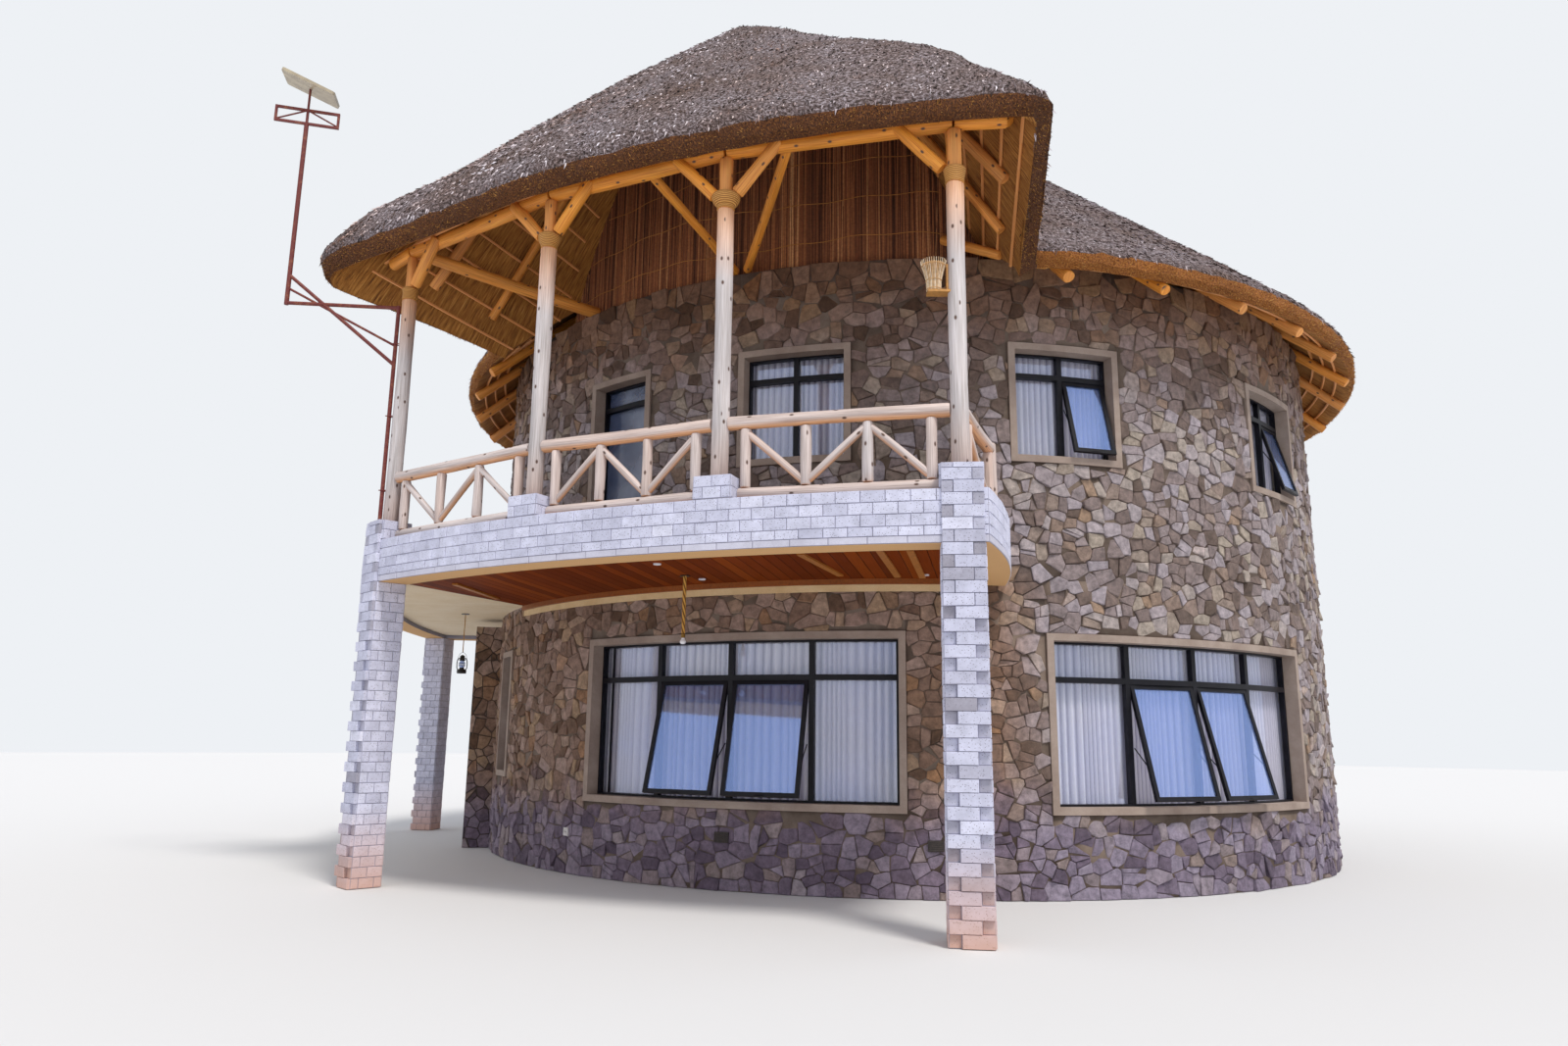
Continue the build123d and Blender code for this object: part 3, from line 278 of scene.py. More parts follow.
@dataclass(frozen=True)
class Cement(Finish):
    """Sand and cement, trowelled or raked: matt, with grains of 3 mm and soft patches half a metre wide."""

    tone: str = "#8a7568"
    patch: str = "#77645a"
    underside: str = ""

    def paint(self, tree: NodeTree, shader: Node) -> None:
        """Colour the patches, speckle the grains and give the underside its own colour.

        Args:
            tree: the material's node tree.
            shader: its surface shader.
        """
        place = add_node(tree, "TexCoord").outputs["Object"]
        patches = add_node(
            tree, "TexNoise", {"Vector": place, "Scale": 2.6, "Detail": 8.0, "Roughness": 0.7})
        grains = add_node(tree, "TexNoise", {"Vector": place, "Scale": 240.0, "Detail": 2.0})
        spread = add_node(tree, "MapRange", {"Value": patches, "From Min": 0.35, "From Max": 0.65})
        face = add_node(tree, "Mix", {0: spread, 6: linear(self.patch), 7: linear(self.tone)})
        if self.underside:
            up = add_node(tree, "SeparateXYZ", {0: add_node(tree, "NewGeometry").outputs["Normal"]})
            down = add_node(
                tree, "MapRange", {"Value": up.outputs["Z"], "From Min": -0.6, "From Max": -0.8})
            face = add_node(tree, "Mix", {0: down, 6: face, 7: linear(self.underside)})
        speck = add_node(tree, "MapRange", {
            "Value": grains, "From Min": 0.3, "From Max": 0.7, "To Min": 0.86, "To Max": 1.08})
        whole = add_node(tree, "Mix", {0: 1.0, 6: face, 7: speck}, blend_type="MULTIPLY")
        self.coat(tree, shader, whole, grains, 0.35, 0.003)


@dataclass(frozen=True)
class SawnStoneTile(Finish):
    """Sawn grey lava tile: pale with lime, matt, full of open pits of 4 to 9 mm, orange with dust at the
    foot.
    """

    def paint(self, tree: NodeTree, shader: Node) -> None:
        """Colour each tile by its tone, open its pits and dust its foot.

        Args:
            tree: the material's node tree.
            shader: its surface shader.
        """
        place = add_node(tree, "TexCoord").outputs["Object"]
        tone = add_node(tree, "Attribute", attribute_name="tone").outputs["Fac"]
        body = add_node(tree, "ValToRGB", {0: tone}, stops=(
            (0.0, "#98949f"), (0.35, "#c6c7db"), (0.8, "#d8d9ec"), (1.0, "#e6e6f4")))
        cloud = add_node(tree, "TexNoise", {"Vector": place, "Scale": 9.0, "Detail": 7.0, "Roughness": 0.7})
        veil = add_node(tree, "MapRange", {
            "Value": cloud, "From Min": 0.35, "From Max": 0.7, "To Min": 0.84, "To Max": 1.12})
        face = add_node(tree, "Mix", {0: 1.0, 6: body, 7: veil}, blend_type="MULTIPLY")
        pores = add_node(tree, "TexVoronoi", {"Vector": place, "Scale": 62.0, "Randomness": 1.0})
        pore = add_node(
            tree, "MapRange", {"Value": pores.outputs["Distance"], "From Min": 0.13, "From Max": 0.24})
        pitted = add_node(tree, "Mix", {0: pore, 6: linear("#77717c"), 7: face})
        height = add_node(tree, "SeparateXYZ", {0: place}).outputs["Z"]
        dust = add_node(tree, "MapRange", {
            "Value": height, "From Min": 0.75, "From Max": 0.0, "To Min": 0.0, "To Max": 0.75})
        dust_and_bounce_tint = add_node(tree, "Mix", {0: dust, 6: pitted, 7: linear("#d29f80")})
        self.coat(tree, shader, dust_and_bounce_tint, pore, 0.7, 0.003)


class StrawFace(Enum):
    """The three faces of a thatched roof."""

    TOP = 0
    CUT = 1
    UNDER = 2


@dataclass(frozen=True)
class Straw(Finish):
    """Cape reed thatch: stems 4 mm thick, drawn about 14 mm wide, as fine as the render can show."""

    stretch: tuple[float, float, float] = (75.0, 60.0, 1.0)
    stems: Ramp = ()
    depth: float = 0.02
    weathered: str = "#d2ccc6"

    def paint(self, tree: NodeTree, shader: Node) -> None:
        """Draw the stems along the roof's pattern and age them in patches.

        Args:
            tree: the material's node tree.
            shader: its surface shader.
        """
        run = add_node(tree, "TexCoord").outputs["UV"]
        laid = add_node(tree, "Mapping", {"Vector": run, "Scale": self.stretch})
        stem = add_node(tree, "TexNoise", {"Vector": laid, "Scale": 1.0, "Detail": 3.0, "Roughness": 0.75})
        colour = add_node(tree, "ValToRGB", {0: stem}, stops=self.stems)
        patch = add_node(tree, "TexNoise", {"Vector": run, "Scale": 1.3, "Detail": 5.0, "Roughness": 0.6})
        age = add_node(tree, "ValToRGB", {0: patch}, stops=((0.3, self.weathered), (0.66, "#ffffff")))
        whole = add_node(tree, "Mix", {0: 1.0, 6: colour, 7: age}, blend_type="MULTIPLY")
        self.coat(tree, shader, whole, stem, 1.0, self.depth)


@dataclass(frozen=True)
class LooseStraw(Finish):
    """Single stem ends that stand out of a cut edge: each has its own gold or brown."""

    stops: Ramp = ((0.0, "#2a1407"), (0.5, "#7c4a1d"), (1.0, "#d39b4c"))
    weathered: str = "#ececec"

    def paint(self, tree: NodeTree, shader: Node) -> None:
        """Colour each stem by its tone and age it in patches.

        Args:
            tree: the material's node tree.
            shader: its surface shader.
        """
        tone = add_node(tree, "Attribute", attribute_name="tone").outputs["Fac"]
        place = add_node(tree, "TexCoord").outputs["Object"]
        grain = add_node(tree, "TexNoise", {"Vector": place, "Scale": 40.0, "Detail": 2.0})
        colour = add_node(tree, "ValToRGB", {0: tone}, stops=self.stops)
        shade = add_node(tree, "MapRange", {
            "Value": grain, "From Min": 0.3, "From Max": 0.7, "To Min": 0.8, "To Max": 1.15})
        patch = add_node(
            tree, "TexNoise", {"Vector": place, "Scale": 0.8, "Detail": 6.0, "Roughness": 0.65})
        age = add_node(tree, "ValToRGB", {0: patch}, stops=((0.3, self.weathered), (0.66, "#ffffff")))
        aged = add_node(tree, "Mix", {0: 1.0, 6: colour, 7: age}, blend_type="MULTIPLY")
        whole = add_node(tree, "Mix", {0: 1.0, 6: aged, 7: shade}, blend_type="MULTIPLY")
        feed(tree, shader, {"Base Color": whole})


@dataclass(frozen=True)
class DebarkedGum(Finish):
    """Debarked gum pole, oiled: silver grey in rain and sun, honey gold under the roof, small dark knots."""

    def paint(self, tree: NodeTree, shader: Node) -> None:
        """Draw growth lines and knots, silver in the open and honey under cover.

        Args:
            tree: the material's node tree.
            shader: its surface shader.
        """
        run = add_node(tree, "TexCoord").outputs["UV"]
        shelter = add_node(tree, "Attribute", attribute_name="tone").outputs["Fac"]
        # growth lines 6 mm apart and a metre long, knots of 18 mm every 250 mm
        lines = add_node(tree, "Mapping", {"Vector": run, "Scale": (150.0, 2.2, 1.0)})
        grain = add_node(tree, "TexNoise", {"Vector": lines, "Scale": 1.0, "Detail": 4.0, "Roughness": 0.6})
        streak = add_node(tree, "TexNoise", {
            "Vector": add_node(tree, "Mapping", {"Vector": run, "Scale": (14.0, 1.3, 1.0)}), "Scale": 1.0,
            "Detail": 3.0})
        silver = add_node(tree, "ValToRGB", {0: grain}, stops=(
            (0.25, "#a0958f"), (0.45, "#cac1bf"), (0.6, "#dcd5d5"), (0.8, "#ebe6e6")))
        honey = add_node(tree, "ValToRGB", {0: grain}, stops=(
            (0.25, "#ac5a18"), (0.45, "#e58f30"), (0.6, "#f8a83e"), (0.8, "#ffc562")))
        # undersides turn honey as well: partly unbleached wood, partly painted warm bounce light from the
        # ground
        down = add_node(tree, "SeparateXYZ", {0: add_node(tree, "NewGeometry").outputs["Normal"]})
        under = add_node(tree, "MapRange", {
            "Value": down.outputs["Z"], "From Min": -0.1, "From Max": -0.8, "To Min": 0.0, "To Max": 0.7})
        sheltered_and_bounce_lit = add_node(tree, "Math", {0: shelter, 1: under}, operation="MAXIMUM")
        wood = add_node(tree, "Mix", {0: sheltered_and_bounce_lit, 6: silver, 7: honey})
        dark = add_node(tree, "MapRange", {
            "Value": streak, "From Min": 0.3, "From Max": 0.7, "To Min": 0.75, "To Max": 1.08})
        stained = add_node(tree, "Mix", {0: 1.0, 6: wood, 7: dark}, blend_type="MULTIPLY")
        knots = add_node(
            tree, "TexVoronoi",
            {"Vector": add_node(tree, "Mapping", {"Vector": run, "Scale": (6.0, 3.4, 1.0)}), "Scale": 1.0},
            voronoi_dimensions="2D")
        knot = add_node(
            tree, "MapRange", {"Value": knots.outputs["Distance"], "From Min": 0.04, "From Max": 0.085})
        whole = add_node(tree, "Mix", {0: knot, 6: linear("#5a4034"), 7: stained})
        relief = add_node(tree, "Math", {0: grain, 1: knot}, operation="ADD")
        self.coat(tree, shader, whole, relief, 0.5, 0.004)


@dataclass(frozen=True)
class LashedWood(Finish):
    """Carved pole collar, bound round with cane: honey gold, ringed every 14 mm."""

    def paint(self, tree: NodeTree, shader: Node) -> None:
        """Ring the collar with cane.

        Args:
            tree: the material's node tree.
            shader: its surface shader.
        """
        place = add_node(tree, "TexCoord").outputs["Object"]
        rings = add_node(
            tree, "TexWave", {"Vector": place, "Scale": 22.0, "Distortion": 1.5, "Detail": 2.0},
            bands_direction="Z")
        colour = add_node(tree, "ValToRGB", {0: rings.outputs["Fac"]}, stops=(
            (0.0, "#8e5520"), (0.4, "#c1853c"), (1.0, "#dca458")))
        self.coat(tree, shader, colour, rings.outputs["Fac"], 0.8, 0.006)


@dataclass(frozen=True)
class VarnishedBoards(Finish):
    """Tongued and grooved softwood, varnished red-brown: boards of 118 mm with a dark groove between them."""

    turn_deg: float = 78.6
    board: float = 0.118

    def paint(self, tree: NodeTree, shader: Node) -> None:
        """Lay the boards side by side, each in its own brown.

        Args:
            tree: the material's node tree.
            shader: its surface shader.
        """
        place = add_node(tree, "TexCoord").outputs["Object"]
        laid = add_node(
            tree, "Mapping", {"Vector": place, "Rotation": (0, 0, math.radians(90 - self.turn_deg))})
        axes = add_node(tree, "SeparateXYZ", {0: laid})
        across = add_node(tree, "Math", {0: axes.outputs["X"], 1: 1 / self.board}, operation="MULTIPLY")
        number = add_node(tree, "Math", {0: across}, operation="FLOOR")
        part = add_node(tree, "Math", {0: across}, operation="FRACT")
        pick = add_node(tree, "TexWhiteNoise", {1: number}, noise_dimensions="1D")
        body = add_node(tree, "ValToRGB", {0: pick.outputs["Value"]}, stops=(
            (0.0, "#6c2a05"), (0.4, "#783108"), (0.8, "#84390a"), (1.0, "#964710")))
        grain = add_node(tree, "TexNoise", {
            "Vector": add_node(tree, "Mapping", {"Vector": laid, "Scale": (120.0, 2.4, 1.0)}), "Scale": 1.0,
            "Detail": 4.0})
        shade = add_node(tree, "MapRange", {
            "Value": grain, "From Min": 0.3, "From Max": 0.7, "To Min": 0.78, "To Max": 1.12})
        wood = add_node(tree, "Mix", {0: 1.0, 6: body, 7: shade}, blend_type="MULTIPLY")
        edge = add_node(tree, "Math", {0: part, 1: 0.5}, operation="SUBTRACT")
        away = add_node(tree, "Math", {0: edge}, operation="ABSOLUTE")
        groove = add_node(tree, "MapRange", {"Value": away, "From Min": 0.49, "From Max": 0.455})
        whole = add_node(tree, "Mix", {0: groove, 6: linear("#2e1006"), 7: wood})
        self.coat(tree, shader, whole, groove, 0.8, 0.004)


@dataclass(frozen=True)
class Coated(Finish):
    """Painted or coated surface with faint unevenness, and rust where a second colour is given."""

    tone: str = "#1b1a22"
    worn: str = "#26252e"
    wear_scale: float = 14.0
    wear_from: float = 0.45
    wear_to: float = 0.62
    relief: float = 0.0006

    def paint(self, tree: NodeTree, shader: Node) -> None:
        """Spread the wear in soft spots.

        Args:
            tree: the material's node tree.
            shader: its surface shader.
        """
        place = add_node(tree, "TexCoord").outputs["Object"]
        spots = add_node(
            tree, "TexNoise", {"Vector": place, "Scale": self.wear_scale, "Detail": 7.0, "Roughness": 0.7})
        spread = add_node(
            tree, "MapRange", {"Value": spots, "From Min": self.wear_from, "From Max": self.wear_to})
        colour = add_node(tree, "Mix", {0: spread, 6: linear(self.tone), 7: linear(self.worn)})
        fine = add_node(tree, "TexNoise", {"Vector": place, "Scale": 300.0})
        self.coat(tree, shader, colour, fine, 0.4, self.relief)


@dataclass(frozen=True)
class FloatGlass(Finish):
    """Clear float glass with a painted reflection of the sky: thin and faintly blue, bluer and more opaque
    where a sash tilts up.
    """

    sky_reflection_tint: str = "#c3d2f8"
    alpha: float = 0.16
    tilted_reflection_extra: float = 0.2

    def paint(self, tree: NodeTree, shader: Node) -> None:
        """Paint the sky's reflection into the glass.

        Args:
            tree: the material's node tree.
            shader: its surface shader.
        """
        place = add_node(tree, "TexCoord").outputs["Object"]
        clouds = add_node(tree, "TexNoise", {"Vector": place, "Scale": 0.9, "Detail": 4.0})
        sky = add_node(tree, "ValToRGB", {0: clouds}, stops=((0.38, self.sky_reflection_tint), (0.62, "#cfd8ec")))
        up = add_node(tree, "SeparateXYZ", {0: add_node(tree, "NewGeometry").outputs["Normal"]})
        lean = add_node(tree, "Math", {0: up.outputs["Z"]}, operation="ABSOLUTE")
        tilted = add_node(tree, "MapRange", {"Value": lean, "From Min": 0.1, "From Max": 0.22})
        # painted reflection: sashes that tilt up show a bluer, brighter sky and a thicker veil
        colour = add_node(tree, "Mix", {0: tilted, 6: sky, 7: linear("#a4c0ff")})
        veil = add_node(
            tree, "MapRange", {"Value": tilted, "To Min": self.alpha, "To Max": self.alpha + self.tilted_reflection_extra})
        feed(tree, shader, {"Base Color": colour, "Alpha": veil})


@dataclass(frozen=True)
class SheerCotton(Finish):
    """Sheer woven cotton voile: off-white and soft. Its fine threads are drawn as a faint cross of 3 mm."""

    def paint(self, tree: NodeTree, shader: Node) -> None:
        """Draw the threads and paint shade into the fold valleys.

        Args:
            tree: the material's node tree.
            shader: its surface shader.
        """
        run = add_node(tree, "TexCoord").outputs["UV"]
        threads = add_node(tree, "TexNoise", {
            "Vector": add_node(tree, "Mapping", {"Vector": run, "Scale": (330.0, 12.0, 1.0)}),
            "Scale": 1.0})
        weave = add_node(tree, "ValToRGB", {0: threads}, stops=((0.3, "#e2dfe8"), (0.7, "#f8f6fb")))
        # the tone follows the folds, low in the valleys: painted shade
        fold = add_node(tree, "Attribute", attribute_name="tone").outputs["Fac"]
        depth = add_node(
            tree, "ValToRGB", {0: fold}, stops=((0.0, "#96919e"), (0.35, "#dbd8e2"), (1.0, "#ffffff")))
        colour = add_node(tree, "Mix", {0: 1.0, 6: weave, 7: depth}, blend_type="MULTIPLY")
        shader.inputs["Sheen Weight"].default_value = 0.5
        self.coat(tree, shader, colour, threads, 0.3, 0.001)


@dataclass(frozen=True)
class TwistedRope(Finish):
    """Three-strand sisal rope, hard laid: golden fibre with painted shade, a dark line in the grooves where
    the strands meet.
    """

    centre: tuple[float, float, float] = (0.0, 0.0, 0.0)
    pitch: float = 0.09

    def paint(self, tree: NodeTree, shader: Node) -> None:
        """Wind the strands round the rope's axis.

        Args:
            tree: the material's node tree.
            shader: its surface shader.
        """
        place = add_node(tree, "TexCoord").outputs["Object"]
        local = add_node(tree, "Mapping", {"Vector": place, "Location": tuple(-c for c in self.centre)})
        axes = add_node(tree, "SeparateXYZ", {0: local})
        turn = add_node(tree, "Math", {0: axes.outputs["Y"], 1: axes.outputs["X"]}, operation="ARCTAN2")
        rise = add_node(
            tree, "Math", {0: axes.outputs["Z"], 1: 2 * math.pi / self.pitch}, operation="MULTIPLY")
        phase = add_node(tree, "Math", {0: turn, 1: 3.0, 2: rise}, operation="MULTIPLY_ADD")
        wave = add_node(tree, "Math", {0: phase}, operation="SINE")
        lay = add_node(tree, "MapRange", {"Value": wave, "From Min": -1.0, "From Max": 0.4})
        # dark where the strands meet: painted shade in the grooves
        colour = add_node(
            tree, "ValToRGB", {0: lay}, stops=((0.0, "#5f3a14"), (0.5, "#b77f33"), (1.0, "#dca851")))
        self.coat(tree, shader, colour, lay, 0.9, 0.005)


@dataclass(frozen=True)
class PanelBack(Finish):
    """Flat collector plate: beige sheet below, dark glass with a fine grid of 65 mm above."""

    def paint(self, tree: NodeTree, shader: Node) -> None:
        """Grid the top and leave the underside beige.

        Args:
            tree: the material's node tree.
            shader: its surface shader.
        """
        place = add_node(tree, "TexCoord").outputs["Object"]
        grid = add_node(
            tree, "TexBrick", {"Vector": place, "Color1": linear("#15203c"), "Color2": linear("#182645"),
            "Mortar": linear("#9aa3ad"), "Scale": 1.0, "Mortar Size": 0.002, "Brick Width": 0.065,
            "Row Height": 0.065}, offset=0.0)
        dust = add_node(tree, "TexNoise", {"Vector": place, "Scale": 9.0, "Detail": 6.0})
        beige = add_node(tree, "ValToRGB", {0: dust}, stops=((0.3, "#a3957f"), (0.7, "#c6b89c")))
        up = add_node(tree, "SeparateXYZ", {0: add_node(tree, "NewGeometry").outputs["Normal"]})
        top = add_node(tree, "MapRange", {"Value": up.outputs["Z"], "From Min": 0.4, "From Max": 0.6})
        whole = add_node(tree, "Mix", {0: top, 6: beige, 7: grid})
        feed(tree, shader, {"Base Color": whole})


RUBBLE = SplitRubble("split_lava_rubble", "rubble_stone", 0.9)
RUBBLE_JOINTED = SplitRubble("split_lava_rubble_in_mortar", "rubble_stone", 0.9, joint=True)
MORTAR = Cement("raked_cement_joint", "rubble_stone", 0.95, tone="#827266", patch="#5e4f44")
INNER_PLASTER = Cement("trowelled_wall_plaster", "plaster", 0.9, tone="#cfc6b8", patch="#bdb3a5")
SURROUND_PLASTER = Cement("floated_taupe_plaster", "plaster", 0.85, tone="#a8978b", patch="#8f7d72")
SOFFIT_PLASTER = Cement("painted_cream_plaster", "plaster", 0.8, tone="#fbe9cb", patch="#f2dcb6")
TILE_BED = Cement(
    "grey_tile_cement", "stone_tile", 0.9, tone="#a9a7b6", patch="#9593a2", underside="#e0b27a")
TILE_SMEAR = Cement("smeared_tile_render", "stone_tile", 0.9, tone="#d6d5e4", patch="#bfbdcb")
FLOOR_SCREED = Cement("steel_floated_screed", "concrete", 0.6, tone="#a58b76", patch="#8f7766")
TILE = SawnStoneTile("sawn_lava_tile", "stone_tile", 0.9)
# On top the cropped ends have weathered to grey salt and pepper. The eave is cut square and stays golden and
# bristly; on the hood the cut eave and its stem ends get darker browns: painted shade on the cut. Below, the
# stems lie combed down the slope.
THATCH = {
    StrawFace.TOP: Straw("cape_reed_top", "thatch", 0.95, stretch=(36.0, 24.0, 1.0), depth=0.035, stems=(
        (0.34, "#241a18"), (0.44, "#51423f"), (0.52, "#7f7275"), (0.6, "#aaa1a9"), (0.7, "#cfc9d4")),
        weathered="#c6aa92"),
    StrawFace.CUT: Straw("cape_reed_cut", "thatch", 0.95, stems=(
        (0.28, "#1e0c04"), (0.45, "#512b10"), (0.6, "#804c1e"), (0.78, "#c08a44"))),
    StrawFace.UNDER: Straw("cape_reed_under", "thatch", 0.95, stretch=(60.0, 2.4, 1.0), depth=0.014, stems=(
        (0.3, "#5b3414"), (0.45, "#a56d2e"), (0.6, "#c98d44"), (0.75, "#e6b566")))}
GOLDEN_CUT = Straw("cape_reed_cut_golden", "thatch", 0.95, stems=(
    (0.28, "#4a2408"), (0.45, "#8f5220"), (0.6, "#bd7c34"), (0.78, "#dfa65c")))
# darker than the golden ends: painted shade for the hood's cut eave
BRISTLE = LooseStraw("shade_darkened_straw_ends", "thatch", 0.9)
GOLDEN_BRISTLE = LooseStraw(
    "golden_straw_ends", "thatch", 0.9, stops=((0.0, "#6a3c16"), (0.5, "#b67730"), (1.0, "#e6b466")))
WEATHERED_TUFT = LooseStraw("weathered_straw_tufts", "thatch", 0.95, weathered="#c8a284", stops=(
    (0.0, "#1c1311"), (0.32, "#64524a"), (0.6, "#aa9da3"), (1.0, "#f6f2fb")))
DARK_REED = LooseStraw("oiled_reed_screen", "reed", 0.7, stops=(
    (0.0, "#4e2c1c"), (0.35, "#8d5638"), (0.65, "#bd7c4e"), (1.0, "#f2bc84")))
STRING = LooseStraw("tarred_twine", "reed", 0.8, stops=((0.0, "#a5682e"), (1.0, "#cf8f48")))
GUM = DebarkedGum("debarked_gum_pole", "pole_wood", 0.6)
COLLAR = LashedWood("cane_lashed_collar", "pole_wood", 0.65)
BOARDS = VarnishedBoards("varnished_tongued_boards", "ceiling_boards", 0.6, specular=0.05)
CORNICE = LooseStraw(
    "varnished_cornice", "ceiling_boards", 0.35, stops=((0.0, "#94501c"), (1.0, "#b5702c")))
BATTEN = LooseStraw("oiled_pale_batten", "ceiling_boards", 0.5, stops=((0.0, "#a8641f"), (1.0, "#bd772c")))
STRIP = Cement("painted_cornice_plaster", "plaster", 0.8, tone="#ecd0a2", patch="#dcbb8a")
ALUMINIUM = Coated(
    "powder_coated_aluminium", "window_metal", 0.45, specular=0.25, tone="#0b0a12", worn="#15141d")
GLASS = FloatGlass("float_glass", "window_glass", 0.05, metallic=0.75)
DOOR_GLASS = FloatGlass("tinted_float_glass", "window_glass", 0.05, sky_reflection_tint="#5c6a8c", alpha=0.5)
VOILE = SheerCotton("sheer_cotton_voile", "curtain_cloth", 0.9)
RED_STEEL = Coated("red_oxide_steel", "mast_steel", 0.6, tone="#6d2a26", worn="#8d5238", wear_from=0.5,
                   wear_to=0.66, relief=0.002)
PANEL = PanelBack("collector_plate", "panel_glass", 0.35)
BLACK_TIN = Coated(
    "black_enamelled_tin", "lantern_metal", 0.4, tone="#14120f", worn="#2a2018", wear_scale=60.0)
BRASS = Coated("dull_brass", "lamp_glass", 0.4, 0.9, tone="#8d6a34", worn="#6e5128", wear_scale=60.0)
OPAL = Coated("opal_lamp_glass", "lamp_glass", 0.3, tone="#efeef2", worn="#e2e1ea", wear_scale=8.0)
CANE = LooseStraw(
    "split_cane", "sconce_basket", 0.6, stops=((0.0, "#c08a48"), (0.5, "#e6c9a0"), (1.0, "#fbf1e0")))
WHITE_PLASTIC = Coated(
    "moulded_white_socket", "fitting", 0.5, tone="#d8d4d2", worn="#c3bcb6", wear_scale=30.0)
DARK_GRILLE = Coated("cast_dark_grille", "fitting", 0.6, tone="#2b2422", worn="#3b302c", wear_scale=40.0)


# Making and placing pieces

def piece(obj: Object, name: str, finish: Finish, *nodes: str) -> Object:
    """Name, dress and place one piece.

    Args:
        obj: the object, finished in place.
        name: the piece's name.
        finish: what it is made of.
        nodes: the CAD nodes that it stands for.

    Returns:
        The same object.
    """
    obj.name = name
    if not obj.data.materials:
        obj.data.materials.append(finish.material())
    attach(obj, "root")
    if nodes:
        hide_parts(*nodes)
    facets = len(obj.data.polygons) if isinstance(obj.data, Mesh) else 0
    logger.info("piece %s: %d facets, for %s", name, facets, ", ".join(nodes) or "nothing in the frame")
    return obj


def only(obj: Object) -> None:
    """Make one object the only selected and active one.

    Args:
        obj: the object.
    """
    bpy.ops.object.select_all(action="DESELECT")
    obj.hide_set(False)
    obj.select_set(True)
    bpy.context.view_layer.objects.active = obj


class Part(Enum):
    """The kinds of part that a mesh is made of."""

    CORNER = "VERT"
    EDGE = "EDGE"
    FACE = "FACE"


def pick(obj: Object, kind: Part, chosen: Sequence[bool]) -> None:
    """Select some corners, edges or faces of a mesh and leave it open for editing.

    Args:
        obj: the object.
        kind: which of them.
        chosen: for each of them whether it is wanted.
    """
    only(obj)
    bpy.ops.object.mode_set(mode="EDIT")
    bpy.ops.mesh.select_mode(type=kind.value)
    bpy.ops.mesh.select_all(action="DESELECT")
    bpy.ops.object.mode_set(mode="OBJECT")
    parts = {Part.CORNER: obj.data.vertices, Part.EDGE: obj.data.edges, Part.FACE: obj.data.polygons}
    parts[kind].foreach_set("select", chosen)
    bpy.ops.object.mode_set(mode="EDIT")


class Batch:
    """Many small copies joined into one mesh, each with its own tone."""

    def __init__(self) -> None:
        """Start with nothing."""
        self.points: list[Array] = []
        self.faces: list[tuple[int, ...]] = []
        self.uvs: list[Array] = []
        self.tones: list[Array] = []
        self.count = 0

    def add(self, points: Array, faces: Sequence[Sequence[int]], tone: float | Array = 0.5,
            loop_uv: Array | None = None) -> None:
        """Add one copy.

        Args:
            points: its corners.
            faces: its faces as corner numbers.
            tone: its own shade, for the whole copy or for each corner.
            loop_uv: its pattern place at each face corner, in metres.
        """
        self.points.append(points)
        self.faces.extend(tuple(int(i) + self.count for i in face) for face in faces)
        corners = sum(len(face) for face in faces)
        self.uvs.append(np.zeros((corners, 2)) if loop_uv is None else loop_uv)
        self.tones.append(np.broadcast_to(np.asarray(tone, float), (len(points),)))
        self.count += len(points)

    def loft(self, levels: Sequence[Array], tone: float = 0.5) -> None:
        """Add a closed copy skinned over rings of points.

        Args:
            levels: the rings in order, each anticlockwise as seen from beyond the last one.
            tone: its own shade.
        """
        count = len(levels[0])
        faces: list[Sequence[int]] = [range(count)[::-1]]
        for low in range(0, count * (len(levels) - 1), count):
            faces += [(low + j, low + (j + 1) % count, low + count + (j + 1) % count, low + count + j)
                      for j in range(count)]
        faces.append(range(count * (len(levels) - 1), count * len(levels)))
        self.add(np.concatenate(levels), faces, tone)

    def joined(self, name: str, finish: Finish, *nodes: str, smooth_deg: float = 0.0) -> Object:
        """Make one piece of all the copies.

        Args:
            name: the piece's name.
            finish: what it is made of.
            nodes: the CAD nodes that it stands for.
            smooth_deg: faces that meet below this angle are shaded as one.

        Returns:
            The new piece.
        """
        mesh = bpy.data.meshes.new(name)
        mesh.from_pydata(np.concatenate(self.points).tolist(), [], self.faces)
        mesh.uv_layers.new(name="UVMap").data.foreach_set(
            "uv", np.concatenate(self.uvs).astype(np.float32).ravel())
        tones = mesh.attributes.new("tone", "FLOAT", "POINT")
        tones.data.foreach_set("value", np.concatenate(self.tones).astype(np.float32))
        mesh.update()
        obj = bpy.data.objects.new(name, mesh)
        bpy.context.scene.collection.objects.link(obj)
        if smooth_deg:
            only(obj)
            bpy.ops.object.shade_smooth_by_angle(angle=math.radians(smooth_deg))
        return piece(obj, name, finish, *nodes)


def merged_copy(node: str) -> Object:
    """Copy a CAD node as an object of its own with its doubles merged.

    Args:
        node: the CAD node's name.

    Returns:
        The new object, at the origin.
    """
    obj = bpy.data.objects.new(node + "_copy", NODES[node].data.copy())
    bpy.context.scene.collection.objects.link(obj)
    only(obj)
    bpy.ops.object.mode_set(mode="EDIT")
    bpy.ops.mesh.select_all(action="SELECT")
    bpy.ops.mesh.remove_doubles(threshold=0.0001)
    bpy.ops.object.mode_set(mode="OBJECT")
    if obj.data.has_custom_normals:
        bpy.ops.mesh.customdata_custom_splitnormals_clear()
    obj.data.materials.clear()
    return obj


def corners_of(mesh: Mesh) -> Array:
    """Read a mesh's vertices.

    Args:
        mesh: the mesh.

    Returns:
        Rows of x, y and z.
    """
    flat = np.empty(len(mesh.vertices) * 3)
    mesh.vertices.foreach_get("co", flat)
    return flat.reshape(-1, 3)


